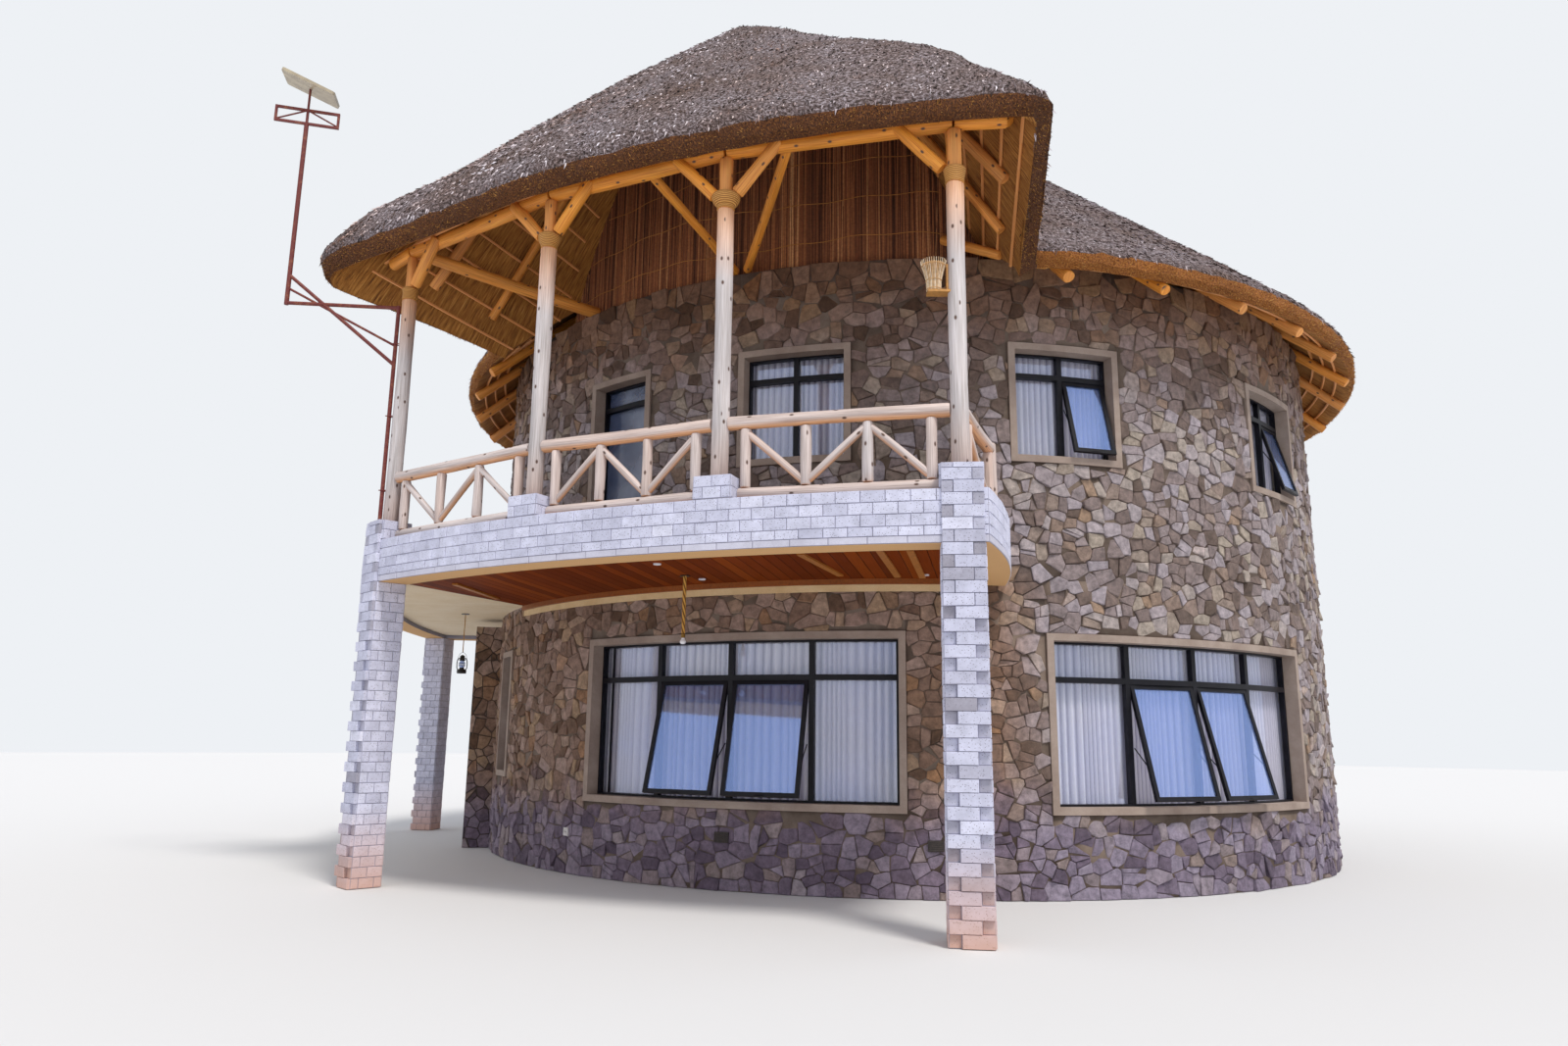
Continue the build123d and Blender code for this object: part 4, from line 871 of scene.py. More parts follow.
def islands(node: str) -> list[Array]:
    """Find the separate solids of a CAD node.

    Args:
        node: the CAD node's name.

    Returns:
        The corners of each solid.
    """
    mesh = NODES[node].data
    points = corners_of(mesh)
    _, first, same = np.unique(
        np.round(points * 1e5).astype(np.int64), axis=0, return_index=True, return_inverse=True)
    loops = np.empty(len(mesh.loops), np.int64)
    mesh.loops.foreach_get("vertex_index", loops)
    triangles = same.ravel()[loops].reshape(-1, 3)
    label = np.arange(len(first))
    while True:
        least = label[triangles].min(1)
        after = label.copy()
        for side in range(3):
            np.minimum.at(after, triangles[:, side], least)
        after = after[after]
        if (after == label).all():
            break
        label = after
    unique = points[first]
    return [unique[label == value] for value in np.unique(label)]


def polar(radius: float, angle_deg: float, height: float = 0.0) -> Array:
    """Return the point at a radius, an angle and a height about the wall's centre."""
    angle = math.radians(angle_deg)
    return np.array([radius * math.cos(angle), radius * math.sin(angle), height])


def arc_point(radius: float, angle_deg: float, height: float = 0.0) -> Array:
    """Return the point at a radius, an angle and a height about the balcony's centre."""
    return polar(radius, angle_deg, height) + np.array([*ARC_CENTRE, 0.0])


def upright(height: float) -> Array:
    """Return the step straight up by a height."""
    return np.array([0, 0, height])


def spread_round(points: Array) -> tuple[float, Array]:
    """Find where points lie round the wall.

    Args:
        points: the points.

    Returns:
        Their middle angle, and each one's angle from it.
    """
    middle = math.atan2(points[:, 1].mean(), points[:, 0].mean())
    turns = (np.arctan2(points[:, 1], points[:, 0]) - middle + math.pi) % (2 * math.pi) - math.pi
    return middle, turns


def square_to(axis: Array) -> tuple[Array, Array]:
    """Find two ways square to an axis and to each other.

    Args:
        axis: the axis, one long.

    Returns:
        The two ways, each one long.
    """
    side = np.cross(axis, (0.0, 0.0, 1.0) if abs(axis[2]) < 0.9 else (1.0, 0.0, 0.0))
    side /= np.linalg.norm(side)
    return side, np.cross(axis, side)


def slab(left: float, right: float, foot: float, head: float, gap: float) -> Array:
    """Return the outline of a tile between four joints, each a gap away."""
    return np.array([(left + gap, foot + gap), (right - gap, foot + gap), (right - gap, head - gap),
                     (left + gap, head - gap)])


Placer = Callable[[Array, Array], Array]


def dressed_block(batch: Batch, outline: Array, rings: Sequence[tuple[float, float]], place: Placer,
                  tone: float, tilt: tuple[float, float] = (0.0, 0.0)) -> None:
    """Add one stone or tile whose face steps in from its outline.

    Args:
        batch: the joined mesh that it goes into.
        outline: its flat outline, anticlockwise as seen from outside.
        rings: how far each ring lies inside the outline and how far it stands out.
        place: turns flat places and depths into points in space.
        tone: its own shade.
        tilt: how much its face leans, along and up.
    """
    centre = outline.mean(0)
    reach = np.linalg.norm(outline - centre, axis=1).mean()
    levels = []
    for step, (inset, depth) in enumerate(rings):
        flat = centre + (outline - centre) * max(0.2, 1 - inset / reach)
        lean = (flat - centre) @ np.array(tilt) if step else np.zeros(len(flat))
        levels.append(place(flat, depth + lean))
    batch.loft(levels, tone)


# Sub-assemblies

@dataclass
class Studio:
    """Camera at the photograph's place, soft light and a pale floor."""

    eye: tuple[float, float, float] = (-1.696, -15.908, 1.45)
    pitch_deg: float = 11.484
    roll_deg: float = 0.705
    lens: float = 24.24
    sun_deg: tuple[float, float] = (30.0, 32.0)
    sun_strength: float = 2.3
    sun_width_deg: float = 12.0
    sky_strength: float = 0.86
    floor_radius: float = 70.0
    floor_level: float = -0.004

    def build(self) -> None:
        """Set up the camera, the lamps, the world and the floor."""
        scene = bpy.context.scene
        camera = bpy.data.objects.new("eye_level_camera", bpy.data.cameras.new("eye_level_camera"))
        scene.collection.objects.link(camera)
        camera.data.lens = self.lens
        camera.data.sensor_width = 36.0
        camera.data.clip_end = 400.0
        camera.matrix_world = (
            Matrix.Translation(self.eye) @ Matrix.Rotation(math.radians(90 + self.pitch_deg), 4, "X")
            @ Matrix.Rotation(math.radians(self.roll_deg), 4, "Z"))
        scene.camera = camera
        scene.view_settings.view_transform = "Standard"
        bpy.ops.object.light_add(
            type="SUN", rotation=(math.radians(self.sun_deg[0]), 0, math.radians(self.sun_deg[1])))
        sun = bpy.context.object
        sun.data.energy = self.sun_strength
        sun.data.angle = math.radians(self.sun_width_deg)
        sun.data.color = linear("#fffaf3")[:3]
        self.sky(scene)
        bpy.ops.object.select_all(action="DESELECT")
        bpy.ops.mesh.primitive_circle_add(
            vertices=64, radius=self.floor_radius, fill_type="NGON", location=(0, 0, self.floor_level))
        floor = bpy.context.object
        floor.name = "pale_floor"
        floor.data.materials.append(self.floor_paint())

    def sky(self, scene: bpy.types.Scene) -> None:
        """Light from all round, and a paler backdrop behind the object.

        Args:
            scene: the scene that gets the world.
        """
        world = bpy.data.worlds.new("studio_sky")
        scene.world = world
        world.use_nodes = True
        tree = world.node_tree
        tree.nodes.clear()
        rays = add_node(tree, "LightPath")
        seen = add_node(tree, "Math", {0: rays.outputs["Is Camera Ray"], 1: rays.outputs["Is Glossy Ray"]},
                        operation="MAXIMUM")
        shown = add_node(
            tree, "Math", {0: seen, 1: rays.outputs["Is Transmission Ray"]}, operation="MAXIMUM")
        light = add_node(tree, "Background", {0: linear("#eef2fb"), 1: self.sky_strength})
        backdrop = add_node(tree, "Background", {0: linear("#eef1f5"), 1: 1.0})
        mixed = add_node(tree, "MixShader", {0: shown, 1: light, 2: backdrop})
        add_node(tree, "OutputWorld", {0: mixed})

    @staticmethod
    def floor_paint() -> bpy.types.Material:
        """Mix the floor's plain pale paint.

        Returns:
            Its material.
        """
        paint = bpy.data.materials.new("pale_studio_floor")
        paint.use_nodes = True
        shader = paint.node_tree.nodes["Principled BSDF"]
        shader.inputs["Base Color"].default_value = linear("#d6d6d6")
        shader.inputs["Roughness"].default_value = 0.9
        return paint


@dataclass(frozen=True)
class Opening:
    """A window or door in the unrolled wall, in metres along it and up."""

    left: float
    right: float
    low: float
    high: float


@dataclass
class RubbleWall:
    """Irregular split stones laid round the wall, with raked joints between them."""

    stone_width: float = 0.158
    stone_height: float = 0.120
    joint: float = 0.004
    flatness: float = 1.15
    squareness: float = 0.3
    shortest_edge: float = 0.030
    least_edges: tuple[float, float] = (0.012, 0.006)
    least_size: tuple[float, float] = (0.025, 0.020)
    furthest: float = 2.4
    none_below: float = 0.24
    two_above: float = 0.82
    stray: tuple[float, float] = (0.44, 0.40)
    opening_gap: float = 0.003
    top: float = 6.345
    bed: float = 0.016
    seed: int = 7
    openings: list[Opening] = field(default_factory=list)

    def find_openings(self) -> None:
        """Read each opening from the surrounds that the frame holds."""
        for node in SURROUND_NODES:
            for points in islands(node):
                middle, turn = spread_round(points)
                left, right = (middle + turn.min()) * WALL_RADIUS, (middle + turn.max()) * WALL_RADIUS
                self.openings.append(Opening(left, right, points[:, 2].min(), points[:, 2].max()))

    def backing(self) -> None:
        """Set the wall's own face back to where the mortar lies."""
        for node in WALL_NODES:
            obj = merged_copy(node)
            points = corners_of(obj.data)
            reach = np.hypot(points[:, 0], points[:, 1])
            outer = reach > WALL_RADIUS - 0.002
            points[outer, :2] *= ((WALL_RADIUS - self.bed) / reach[outer])[:, None]
            obj.data.vertices.foreach_set("co", points.ravel())
            obj.data.materials.append(MORTAR.material())
            obj.data.materials.append(INNER_PLASTER.material())
            for face in obj.data.polygons:
                outward = face.normal.xy.dot(face.center.xy)
                face.material_index = 0 if outward > 0 and face.center.xy.length > WALL_RADIUS - 0.1 else 1
            piece(obj, node + "_backing", MORTAR, node)

    @staticmethod
    def clip(outline: list[tuple[float, float]], nx: float, ny: float,
             limit: float) -> list[tuple[float, float]]:
        """Cut an outline with a straight line.

        Args:
            outline: the outline's corners in order.
            nx: the line's normal, along.
            ny: the line's normal, up.
            limit: how far along that normal the outline may reach.

        Returns:
            The corners that are left.
        """
        kept = []
        for (x0, y0), (x1, y1) in zip(outline, outline[1:] + outline[:1]):
            d0, d1 = x0 * nx + y0 * ny - limit, x1 * nx + y1 * ny - limit
            if d0 <= 0:
                kept.append((x0, y0))
            if (d0 < 0 < d1) or (d1 < 0 < d0):
                share = d0 / (d0 - d1)
                kept.append((x0 + share * (x1 - x0), y0 + share * (y1 - y0)))
        return kept

    def seeds(self, rng: Chance) -> list[list[list[tuple[float, float]]]]:
        """Scatter the middles of the stones over the unrolled wall.

        Args:
            rng: the source of chance.

        Returns:
            For each row and column of a loose grid, the middles that fall in it.
        """
        columns = int(2 * math.pi * WALL_RADIUS / self.stone_width)
        rows = int(self.top / self.stone_height)
        aside, away = self.stray
        grid = []
        for row in range(rows):
            line = []
            for column in range(columns):
                chance = rng.random()
                count = 0 if chance < self.none_below else 2 if chance > self.two_above else 1
                line.append([((column + 0.5 + rng.uniform(-aside, aside)) * self.stone_width,
                              (row + 0.5 + rng.uniform(-away, away)) * self.stone_height)
                             for _ in range(count)])
            grid.append(line)
        return grid

    def on_wall(self, flat: Array, depth: Array) -> Array:
        """Roll flat places round the wall.

        Args:
            flat: places along the unrolled wall and up.
            depth: how far each stands out.

        Returns:
            The points in space.
        """
        angle = flat[:, 0] / WALL_RADIUS
        reach = WALL_RADIUS + depth
        return np.stack([reach * np.cos(angle), reach * np.sin(angle), flat[:, 1]], 1)

    def stones(self) -> None:
        """Cut the wall into stones and lay each one."""
        rng = np.random.default_rng(self.seed)
        grid = self.seeds(rng)
        rows, columns = len(grid), len(grid[0])
        girth = columns * self.stone_width
        scale = 2 * math.pi * WALL_RADIUS / girth
        batches = {
            "lower_front": Batch(), "lower_back": Batch(), "upper_front": Batch(), "upper_back": Batch()}
        for row in range(rows):
            for column in range(columns):
                near = [(x + girth * ((column + dc) // columns), y)
                        for dr in range(-2, 3) if 0 <= row + dr < rows
                        for dc in range(-3, 4) for x, y in grid[row + dr][(column + dc) % columns]]
                for seed in grid[row][column]:
                    self.lay_stone(seed, near, scale, rng, batches)
        for name, batch in batches.items():
            batch.joined("rubble_" + name, RUBBLE)

    def lay_stone(self, seed: tuple[float, float], near: Sequence[tuple[float, float]], scale: float,
                  rng: Chance, batches: dict[str, Batch]) -> None:
        """Cut one stone between its neighbours and the openings, and lay it.

        Args:
            seed: the stone's middle.
            near: the middles of the stones round it.
            scale: stretch that closes the ring of stones.
            rng: the source of chance.
            batches: the joined meshes of the wall's quarters.
        """
        x, y = seed
        reach = self.furthest * self.stone_width
        outline = [(x - reach, max(0.0, y - reach)), (x + reach, max(0.0, y - reach)),
                   (x + reach, min(self.top, y + reach)), (x - reach, min(self.top, y + reach))]
        gap = self.joint / 2 * rng.uniform(0.7, 1.7)
        for ox, oy in near:
            dx, dy = ox - x, oy - y
            apart = math.hypot(dx, dy)
            if 1e-6 < apart < 2 * reach:
                lean = math.atan2(dy * self.flatness ** 2, dx)
                square = round(lean / (math.pi / 2)) * (math.pi / 2)
                lean += self.squareness * (square - lean)
                nx, ny = math.cos(lean), math.sin(lean)
                outline = self.clip(outline, nx, ny, nx * (x + ox) / 2 + ny * (y + oy) / 2 - gap)
        girth = 2 * math.pi * WALL_RADIUS
        for hole in self.openings:
            for turn in (-girth, 0.0, girth):
                left, right = (hole.left + turn) / scale, (hole.right + turn) / scale
                if not (left - reach < x < right + reach and hole.low - reach < y < hole.high + reach):
                    continue
                sides = ((left - x, 1, 0, left), (x - right, -1, 0, -right), (hole.low - y, 0, 1, hole.low),
                         (y - hole.high, 0, -1, -hole.high))
                beyond, nx, ny, limit = max(sides)
                if beyond <= 0:
                    return
                outline = self.clip(outline, nx, ny, limit - self.opening_gap)
        if len(outline) < 3:
            return
        flat = np.array(outline) * np.array([scale, 1.0])
        edges = np.linalg.norm(flat - np.roll(flat, 1, 0), axis=1)
        keep = edges > (self.shortest_edge if rng.random() < 0.7 else self.least_edges[0])
        flat = flat[keep] if keep.sum() > 3 else flat[edges > self.least_edges[1]]
        if len(flat) < 3 or (np.ptp(flat, axis=0) < self.least_size).any():
            return
        proud = rng.triangular(-0.010, -0.002, 0.012)
        rings = ((0.0, -self.bed - 0.004), (0.001, proud - 0.006), (0.011, proud))
        angle = math.degrees(x * scale / WALL_RADIUS) % 360
        quarter = ("lower_" if y < STOREY_LINE else "upper_") + ("front" if 180 <= angle < 360 else "back")
        dressed_block(batches[quarter], flat, rings, self.on_wall, rng.beta(1.6, 1.6),
                      (rng.normal(0, 0.10), rng.normal(-0.01, 0.12)))

    def build(self) -> None:
        """Build the whole round wall."""
        self.find_openings()
        self.backing()
        self.stones()


@dataclass
class TileCourses:
    """Courses of sawn stone tile round the balcony's band, the pillars and the pier blocks."""

    length: float = 0.195
    height: float = 0.0975
    joint: float = 0.006
    proud: float = 0.009
    tooth: float = 0.032
    smear: float = 0.060
    smear_length: float = 0.31
    least: float = 0.02
    even_teeth_from: float = 2.35
    pillar_width: float = 0.330
    pillar_depth: float = 0.295
    porch_corner: tuple[float, float] = (-7.3478, 1.1507)
    wall_ends_deg: tuple[float, float] = (166.0, -85.3)
    arc_ends_deg: tuple[float, float] = (-132.4, -98.05)
    bows: tuple[float, float] = (0.376, 0.096)
    seed: int = 11

    @staticmethod
    def placer(path: Array) -> tuple[float, Placer]:
        """Measure a plan line and find how tiles are placed on it.

        Args:
            path: plan points in order round the house, with the outside on their right.

        Returns:
            The line's length, and what turns flat places and depths into points in space.
        """
        steps = np.linalg.norm(np.diff(path, axis=0), axis=1)
        reach = np.concatenate([[0.0], np.cumsum(steps)])

        def place(flat: Array, depth: Array) -> Array:
            """Put flat places along the line and out from it.

            Args:
                flat: places along the line and up.
                depth: how far each stands out.

            Returns:
                The points in space.
            """
            x, y = (np.interp(flat[:, 0], reach, path[:, axis]) for axis in (0, 1))
            at = np.clip(np.searchsorted(reach, flat[:, 0].mean()) - 1, 0, len(steps) - 1)
            along = (path[at + 1] - path[at]) / steps[at]
            return np.stack([x + along[1] * depth, y - along[0] * depth, flat[:, 1]], 1)

        return reach[-1], place

    def run(self, batch: Batch, path: Array, low: float, high: float, rng: Chance,
            length: float = 0.0) -> None:
        """Lay courses along a plan line, from the top down.

        Args:
            batch: the joined mesh.
            path: plan points in order round the house, with the outside on their right.
            low: the lowest course's foot.
            high: the top course's head.
            rng: the source of chance.
            length: the length of a tile, where it isn't the usual one.
        """
        whole, place = self.placer(path)
        count = max(1, round(whole / (length or self.length)))
        step = whole / count
        course = 0
        head = high
        while head - low > self.least:
            foot = max(low, head - self.height)
            shift = 0.5 * (course % 2)
            marks = [(k + shift) * step for k in range(count + 1)]
            marks = [0.0, *(m for m in marks if self.least < m < whole - self.least), whole]
            for left, right in zip(marks, marks[1:]):
                out = self.proud + rng.uniform(-0.003, 0.002)
                dressed_block(batch, slab(left, right, foot, head, self.joint / 2),
                              ((0.0, -0.004), (0.0, out - 0.003), (0.006, out)), place,
                              0.3 + 0.6 * rng.beta(2, 2), (rng.normal(0, 0.008), rng.normal(0, 0.015)))
            head = foot
            course += 1

    @staticmethod
    def bowed(start: Array, end: Array, sag: float) -> Array:
        """Return points of a shallow curve that bows to the right of its way.

        Args:
            start: where it starts.
            end: where it ends.
            sag: how far it bows out at its middle.

        Returns:
            Points along the curve.
        """
        along = (end - start) / np.linalg.norm(end - start)
        share = np.linspace(0, 1, 33)[:, None]
        return start + (end - start) * share + np.array([along[1], -along[0]]) * (
            4 * sag * share * (1 - share))

    def band(self) -> None:
        """Tile the band's outer face all the way round."""
        rng = np.random.default_rng(self.seed)
        batch, smears = Batch(), Batch()
        corner = np.array(self.porch_corner)
        wall_left, wall_right = (polar(WALL_RADIUS, angle)[:2] for angle in self.wall_ends_deg)
        arc = np.array([arc_point(ARC_RADIUS, angle)[:2] for angle in np.linspace(*self.arc_ends_deg, 65)])
        for path in (np.linspace(wall_left, corner, 9), self.bowed(corner, arc[0], self.bows[0]), arc,
                     self.bowed(arc[-1], wall_right, self.bows[1])):
            self.run(batch, path, BAND_FOOT + self.smear, BAND_TOP, rng)
            self.run(smears, path, BAND_FOOT + 0.002, BAND_FOOT + self.smear, rng, self.smear_length)
        batch.joined("band_tiles", TILE)
        smears.joined("band_smear", TILE_SMEAR)

    def box_sides(self, centre: Array, width: float, depth: float, turn_deg: float) -> list[Array]:
        """Return the four faces of an upright block as plan lines.

        Args:
            centre: the block's middle.
            width: its size across the outward way.
            depth: its size along the outward way.
            turn_deg: which way its outer face looks.

        Returns:
            Its outer face and then the other three, anticlockwise.
        """
        sides = []
        for quarter in range(4):
            angle = math.radians(turn_deg + 90 * quarter)
            out = np.array([math.cos(angle), math.sin(angle)])
            right = np.array([-math.sin(angle), math.cos(angle)])
            far, half = (depth / 2, width / 2) if quarter % 2 == 0 else (width / 2, depth / 2)
            edge = centre[:2] + out * far
            sides.append(np.array([edge - right * half, edge + right * half]))
        return sides

    def toothed(self, batch: Batch, side: Array, high: float, rng: Chance) -> None:
        """Lay a pillar's outer face: one long block a course stands out, at the left and right in turn.

        Args:
            batch: the joined mesh.
            side: the face as a plan line.
            high: the top of the face.
            rng: the source of chance.
        """
        whole, place = self.placer(side)
        course = 0
        foot = 0.0
        while high - foot > self.least:
            head = min(high, foot + self.height)
            split = whole * (0.72 if course % 2 else 0.28)
            for left, right, is_long in ((0.0, split, course % 2 == 1), (split, whole, course % 2 == 0)):
                shallow = self.tooth - 0.005 if foot > self.even_teeth_from else self.proud - 0.006
                out = (self.tooth if is_long else shallow) + rng.uniform(-0.002, 0.002)
                # a recessed short block keeps only 0.4 of its tone: painted shade in the recess
                dressed_block(
                    batch, slab(left, right, foot, head, self.joint / 3),
                    ((0.0, -0.002), (0.0, out - 0.004), (0.005, out)), place,
                    rng.beta(2, 2) * (1.0 if is_long else 0.4), (rng.normal(0, 0.01), rng.normal(0, 0.02)))
            foot = head
            course += 1

    def pillars(self) -> None:
        """Tile the three pillars and the four pier blocks."""
        rng = np.random.default_rng(self.seed + 1)
        batch = Batch()
        for node, turn, teeth_top in (("right_pillar", -97.0, PIER_TOP), ("left_pillar", -137.0, PIER_TOP), (
                "rear_pillar", 172.0, BAND_FOOT)):
            sides = self.box_sides(islands(node)[0].mean(0), self.pillar_width, self.pillar_depth, turn)
            self.toothed(batch, sides[0], teeth_top, rng)
            for side in sides[1:]:
                self.run(batch, side, 0.0, BAND_FOOT, rng)
        batch.joined("pillar_tiles", TILE)
        piers = Batch()
        for angle in POST_ANGLES:
            centre = arc_point(ARC_RADIUS - BAND_WIDTH / 2, angle)
            for side in self.box_sides(centre, self.pillar_width, BAND_WIDTH, angle):
                self.run(piers, side, BAND_TOP, PIER_TOP, rng)
        piers.joined("pier_tiles", TILE)

    def build(self) -> None:
        """Lay every tile."""
        self.band()
        self.pillars()
        for node in ("balcony_band", "right_pillar", "left_pillar", "rear_pillar", "pier_blocks"):
            dress(node, TILE_BED)


def dress(node: str, finish: Finish) -> None:
    """Give a CAD node its finish.

    Args:
        node: the CAD node's name.
        finish: what it is made of.
    """
    obj = NODES[node]
    obj.data.materials.clear()
    obj.data.materials.append(finish.material())
    for face in obj.data.polygons:
        face.material_index = 0


def eased(value: Array, start: float, end: float) -> Array:
    """Return a smooth step from 0 at the start to 1 at the end."""
    share = np.clip((value - start) / (end - start), 0, 1)
    return share * share * (3 - 2 * share)


@dataclass
class Thatching:
    """Both thatched roofs: rounded shaggy tops, bristly cut eaves and combed undersides."""

    longest: float = 0.17
    halvings: int = 9
    top_from: float = 0.3
    cut_from: float = 0.02
    wave: float = 0.016
    wave_scale: float = 0.9
    rough: float = 0.010
    rough_scale: float = 7.0
    rounding: int = 6
    cut_rounding: int = 2
    rounded_from: float = 5.9
    lean: float = 0.33
    lean_plan: tuple[float, float] = (-1.7, -0.4)
    lean_height: tuple[float, float] = (6.4, 7.3)
    lean_clear: tuple[float, float] = (0.05, 0.8)
    clear_of_cone: float = 0.06
    corner_reach: float = 0.40
    corner_spread: float = 0.75
    corner_top: float = 7.4
    left_corner: tuple[float, float] = (-6.6, -4.9)
    ridge_lifts: tuple[tuple[float, float, float], ...] = ((-1.05, -5.75, -0.065), (-0.05, -6.85, 0.09))
    ridge_spread: float = 0.35
    cone_apex: float = 11.803
    cone_fall: float = 0.8754
    cone_eave: float = 6.45
    cone_turn: float = 5.0
    cone_stretch: float = 1.3
    hood_turn: float = 10.0
    hood_stretch: float = 1.4
    hood_facing: float = 0.93
    hip_shift: float = 20.0
    bristles_per_metre: float = 1900.0
    bristle: tuple[float, float] = (0.026, 0.0045)
    tufts_per_metre: float = 195.0
    tuft: tuple[float, float] = (0.050, 0.0115)
    seed: int = 5

    def dense_copy(self, node: str) -> Object:
        """Copy a roof and cut its long edges until none is too long.

        Args:
            node: the CAD node's name.

        Returns:
            The new object.
        """
        obj = merged_copy(node)
        mesh = obj.data
        for _ in range(self.halvings):
            points = corners_of(mesh)
            ends = np.empty(len(mesh.edges) * 2, np.int64)
            mesh.edges.foreach_get("vertices", ends)
            ends = ends.reshape(-1, 2)
            long_edges = np.linalg.norm(points[ends[:, 0]] - points[ends[:, 1]], axis=1) > self.longest
            if not long_edges.any():
                break
            pick(obj, Part.EDGE, long_edges)
            bpy.ops.mesh.subdivide(number_cuts=1)
            bpy.ops.mesh.select_all(action="SELECT")
            bpy.ops.mesh.quads_convert_to_tris(quad_method="BEAUTY", ngon_method="BEAUTY")
            bpy.ops.object.mode_set(mode="OBJECT")
        return obj

    def sort_face(self, centre: Array, normal: Array, middle: Array) -> StrawFace:
        """Tell which of the roof's three faces a facet belongs to.

        Args:
            centre: the facet's middle.
            normal: the way it looks.
            middle: the plan point that the roof slopes away from.

        Returns:
            The face.
        """
        if normal[2] > self.top_from:
            return StrawFace.TOP
        outward = (centre[:2] - middle) @ normal[:2]
        return StrawFace.CUT if outward > self.cut_from else StrawFace.UNDER

    def grain(self, point: Array, normal: Array, on_hood: bool) -> tuple[float, float]:
        """Return how far round the roof and how far down its slope a point lies.

        Args:
            point: the point.
            normal: the way the facet looks.
            on_hood: whether it is on the hood over the balcony.

        Returns:
            Metres across the stems and metres along them.
        """
        if not on_hood:
            reach = math.hypot(point[0], point[1])
            return math.atan2(point[1], point[0]) * self.cone_turn, reach * self.cone_stretch
        level = normal[:2] / max(1e-6, np.linalg.norm(normal[:2]))
        from_arc = point[:2] - ARC_CENTRE
        reach = np.linalg.norm(from_arc)
        if abs(level @ from_arc / reach) > self.hood_facing:
            return math.atan2(from_arc[1], from_arc[0]) * self.hood_turn, reach * self.hood_stretch
        return float(point[:2] @ HOOD_OUT), point[2] * self.hood_stretch + self.hip_shift

    def above_cone(self, points: Array) -> Array:
        """Return how far points lie above the cone's outer face, or far more past its eave."""
        reach = np.hypot(points[:, 0], points[:, 1])
        return np.where(
            reach > self.cone_eave, 9.0, points[:, 2] - (self.cone_apex - self.cone_fall * reach))

    def paint_faces(self, obj: Object, middle: Array, on_hood: bool) -> list[StrawFace]:
        """Sort a roof's facets and lay the pattern along its stems.

        Args:
            obj: the roof.
            middle: the plan point that it slopes away from.
            on_hood: whether it is the hood.

        Returns:
            The face that each facet belongs to.
        """
        mesh = obj.data
        points = corners_of(mesh)
        for face in StrawFace:
            # the hood's cut takes the darker browns: painted shade
            finish = GOLDEN_CUT if face is StrawFace.CUT and not on_hood else THATCH[face]
            mesh.materials.append(finish.material())
        layer = mesh.uv_layers.active or mesh.uv_layers.new(name="UVMap")
        full_turn = 2 * math.pi * (self.hood_turn if on_hood else self.cone_turn)
        zones = []
        for face in mesh.polygons:
            normal = np.array(face.normal)
            zone = self.sort_face(np.array(face.center), normal, middle)
            zones.append(zone)
            face.material_index = zone.value
            places = [self.grain(points[v], normal, on_hood) for v in face.vertices]
            turns = [p[0] for p in places]
            if max(turns) - min(turns) > 4:
                places = [(u + full_turn if u < 0 else u, v) for u, v in places]
            for loop, place in zip(face.loop_indices, places):
                layer.data[loop].uv = place
        return zones

    def shape(self, obj: Object, zones: Sequence[StrawFace], on_hood: bool) -> None:
        """Dress a roof as a thatcher does: lean the hood, round its edges over and leave it uneven.

        Args:
            obj: the roof.
            zones: the face of each facet.
            on_hood: whether it is the hood.
        """
        mesh = obj.data
        points = corners_of(mesh)
        kinds = np.zeros((len(points), 3), bool)
        for zone, face in zip(zones, mesh.polygons):
            kinds[list(face.vertices), zone.value] = True
        free = self.above_cone(points) > self.clear_of_cone if on_hood else np.ones(len(points), bool)
        outer = kinds[:, 0] & free if on_hood else kinds[:, 0]
        if on_hood:
            left = 1 - eased(points[:, 0], *self.lean_plan)
            points[outer, 0] -= (self.lean * left * eased(points[:, 2], *self.lean_height)
                                 * eased(self.above_cone(points), *self.lean_clear))[outer]
            apart = ((points[:, :2] - self.left_corner) ** 2).sum(1)
            near = np.exp(-apart / (2 * self.corner_spread ** 2)) * (points[:, 2] < self.corner_top)
            points[:, 0] -= self.corner_reach * near
            for *spot, lift in self.ridge_lifts:
                apart = ((points[:, :2] - spot) ** 2).sum(1)
                points[outer, 2] += (lift * np.exp(-apart / self.ridge_spread))[outer]
            mesh.vertices.foreach_set("co", points.ravel())
        edge = free if on_hood else np.hypot(points[:, 0], points[:, 1]) > self.rounded_from
        self.smooth(obj, (kinds[:, 0] | kinds[:, 1]) & ~kinds[:, 2] & edge, self.rounding)
        self.smooth(obj, kinds[:, 1] & edge, self.cut_rounding)
        mesh.update()
        points = corners_of(mesh)
        normals = np.empty(len(points) * 3)
        mesh.vertices.foreach_get("normal", normals)
        quick = np.array([noise.noise(Vector(p) * self.rough_scale) for p in points])
        slow = np.array([noise.noise(Vector(p) * self.wave_scale) for p in points])
        points += normals.reshape(-1, 3) * (self.rough * quick)[:, None]
        points[:, 2] += self.wave * slow
        mesh.vertices.foreach_set("co", points.ravel())
        mesh.update()

    @staticmethod
    def smooth(obj: Object, chosen: Array, repeat: int) -> None:
        """Smooth the chosen vertices of a mesh.

        Args:
            obj: the object.
            chosen: which vertices.
            repeat: how many times.
        """
        pick(obj, Part.CORNER, chosen)
        bpy.ops.mesh.vertices_smooth(factor=0.5, repeat=repeat)
        bpy.ops.object.mode_set(mode="OBJECT")

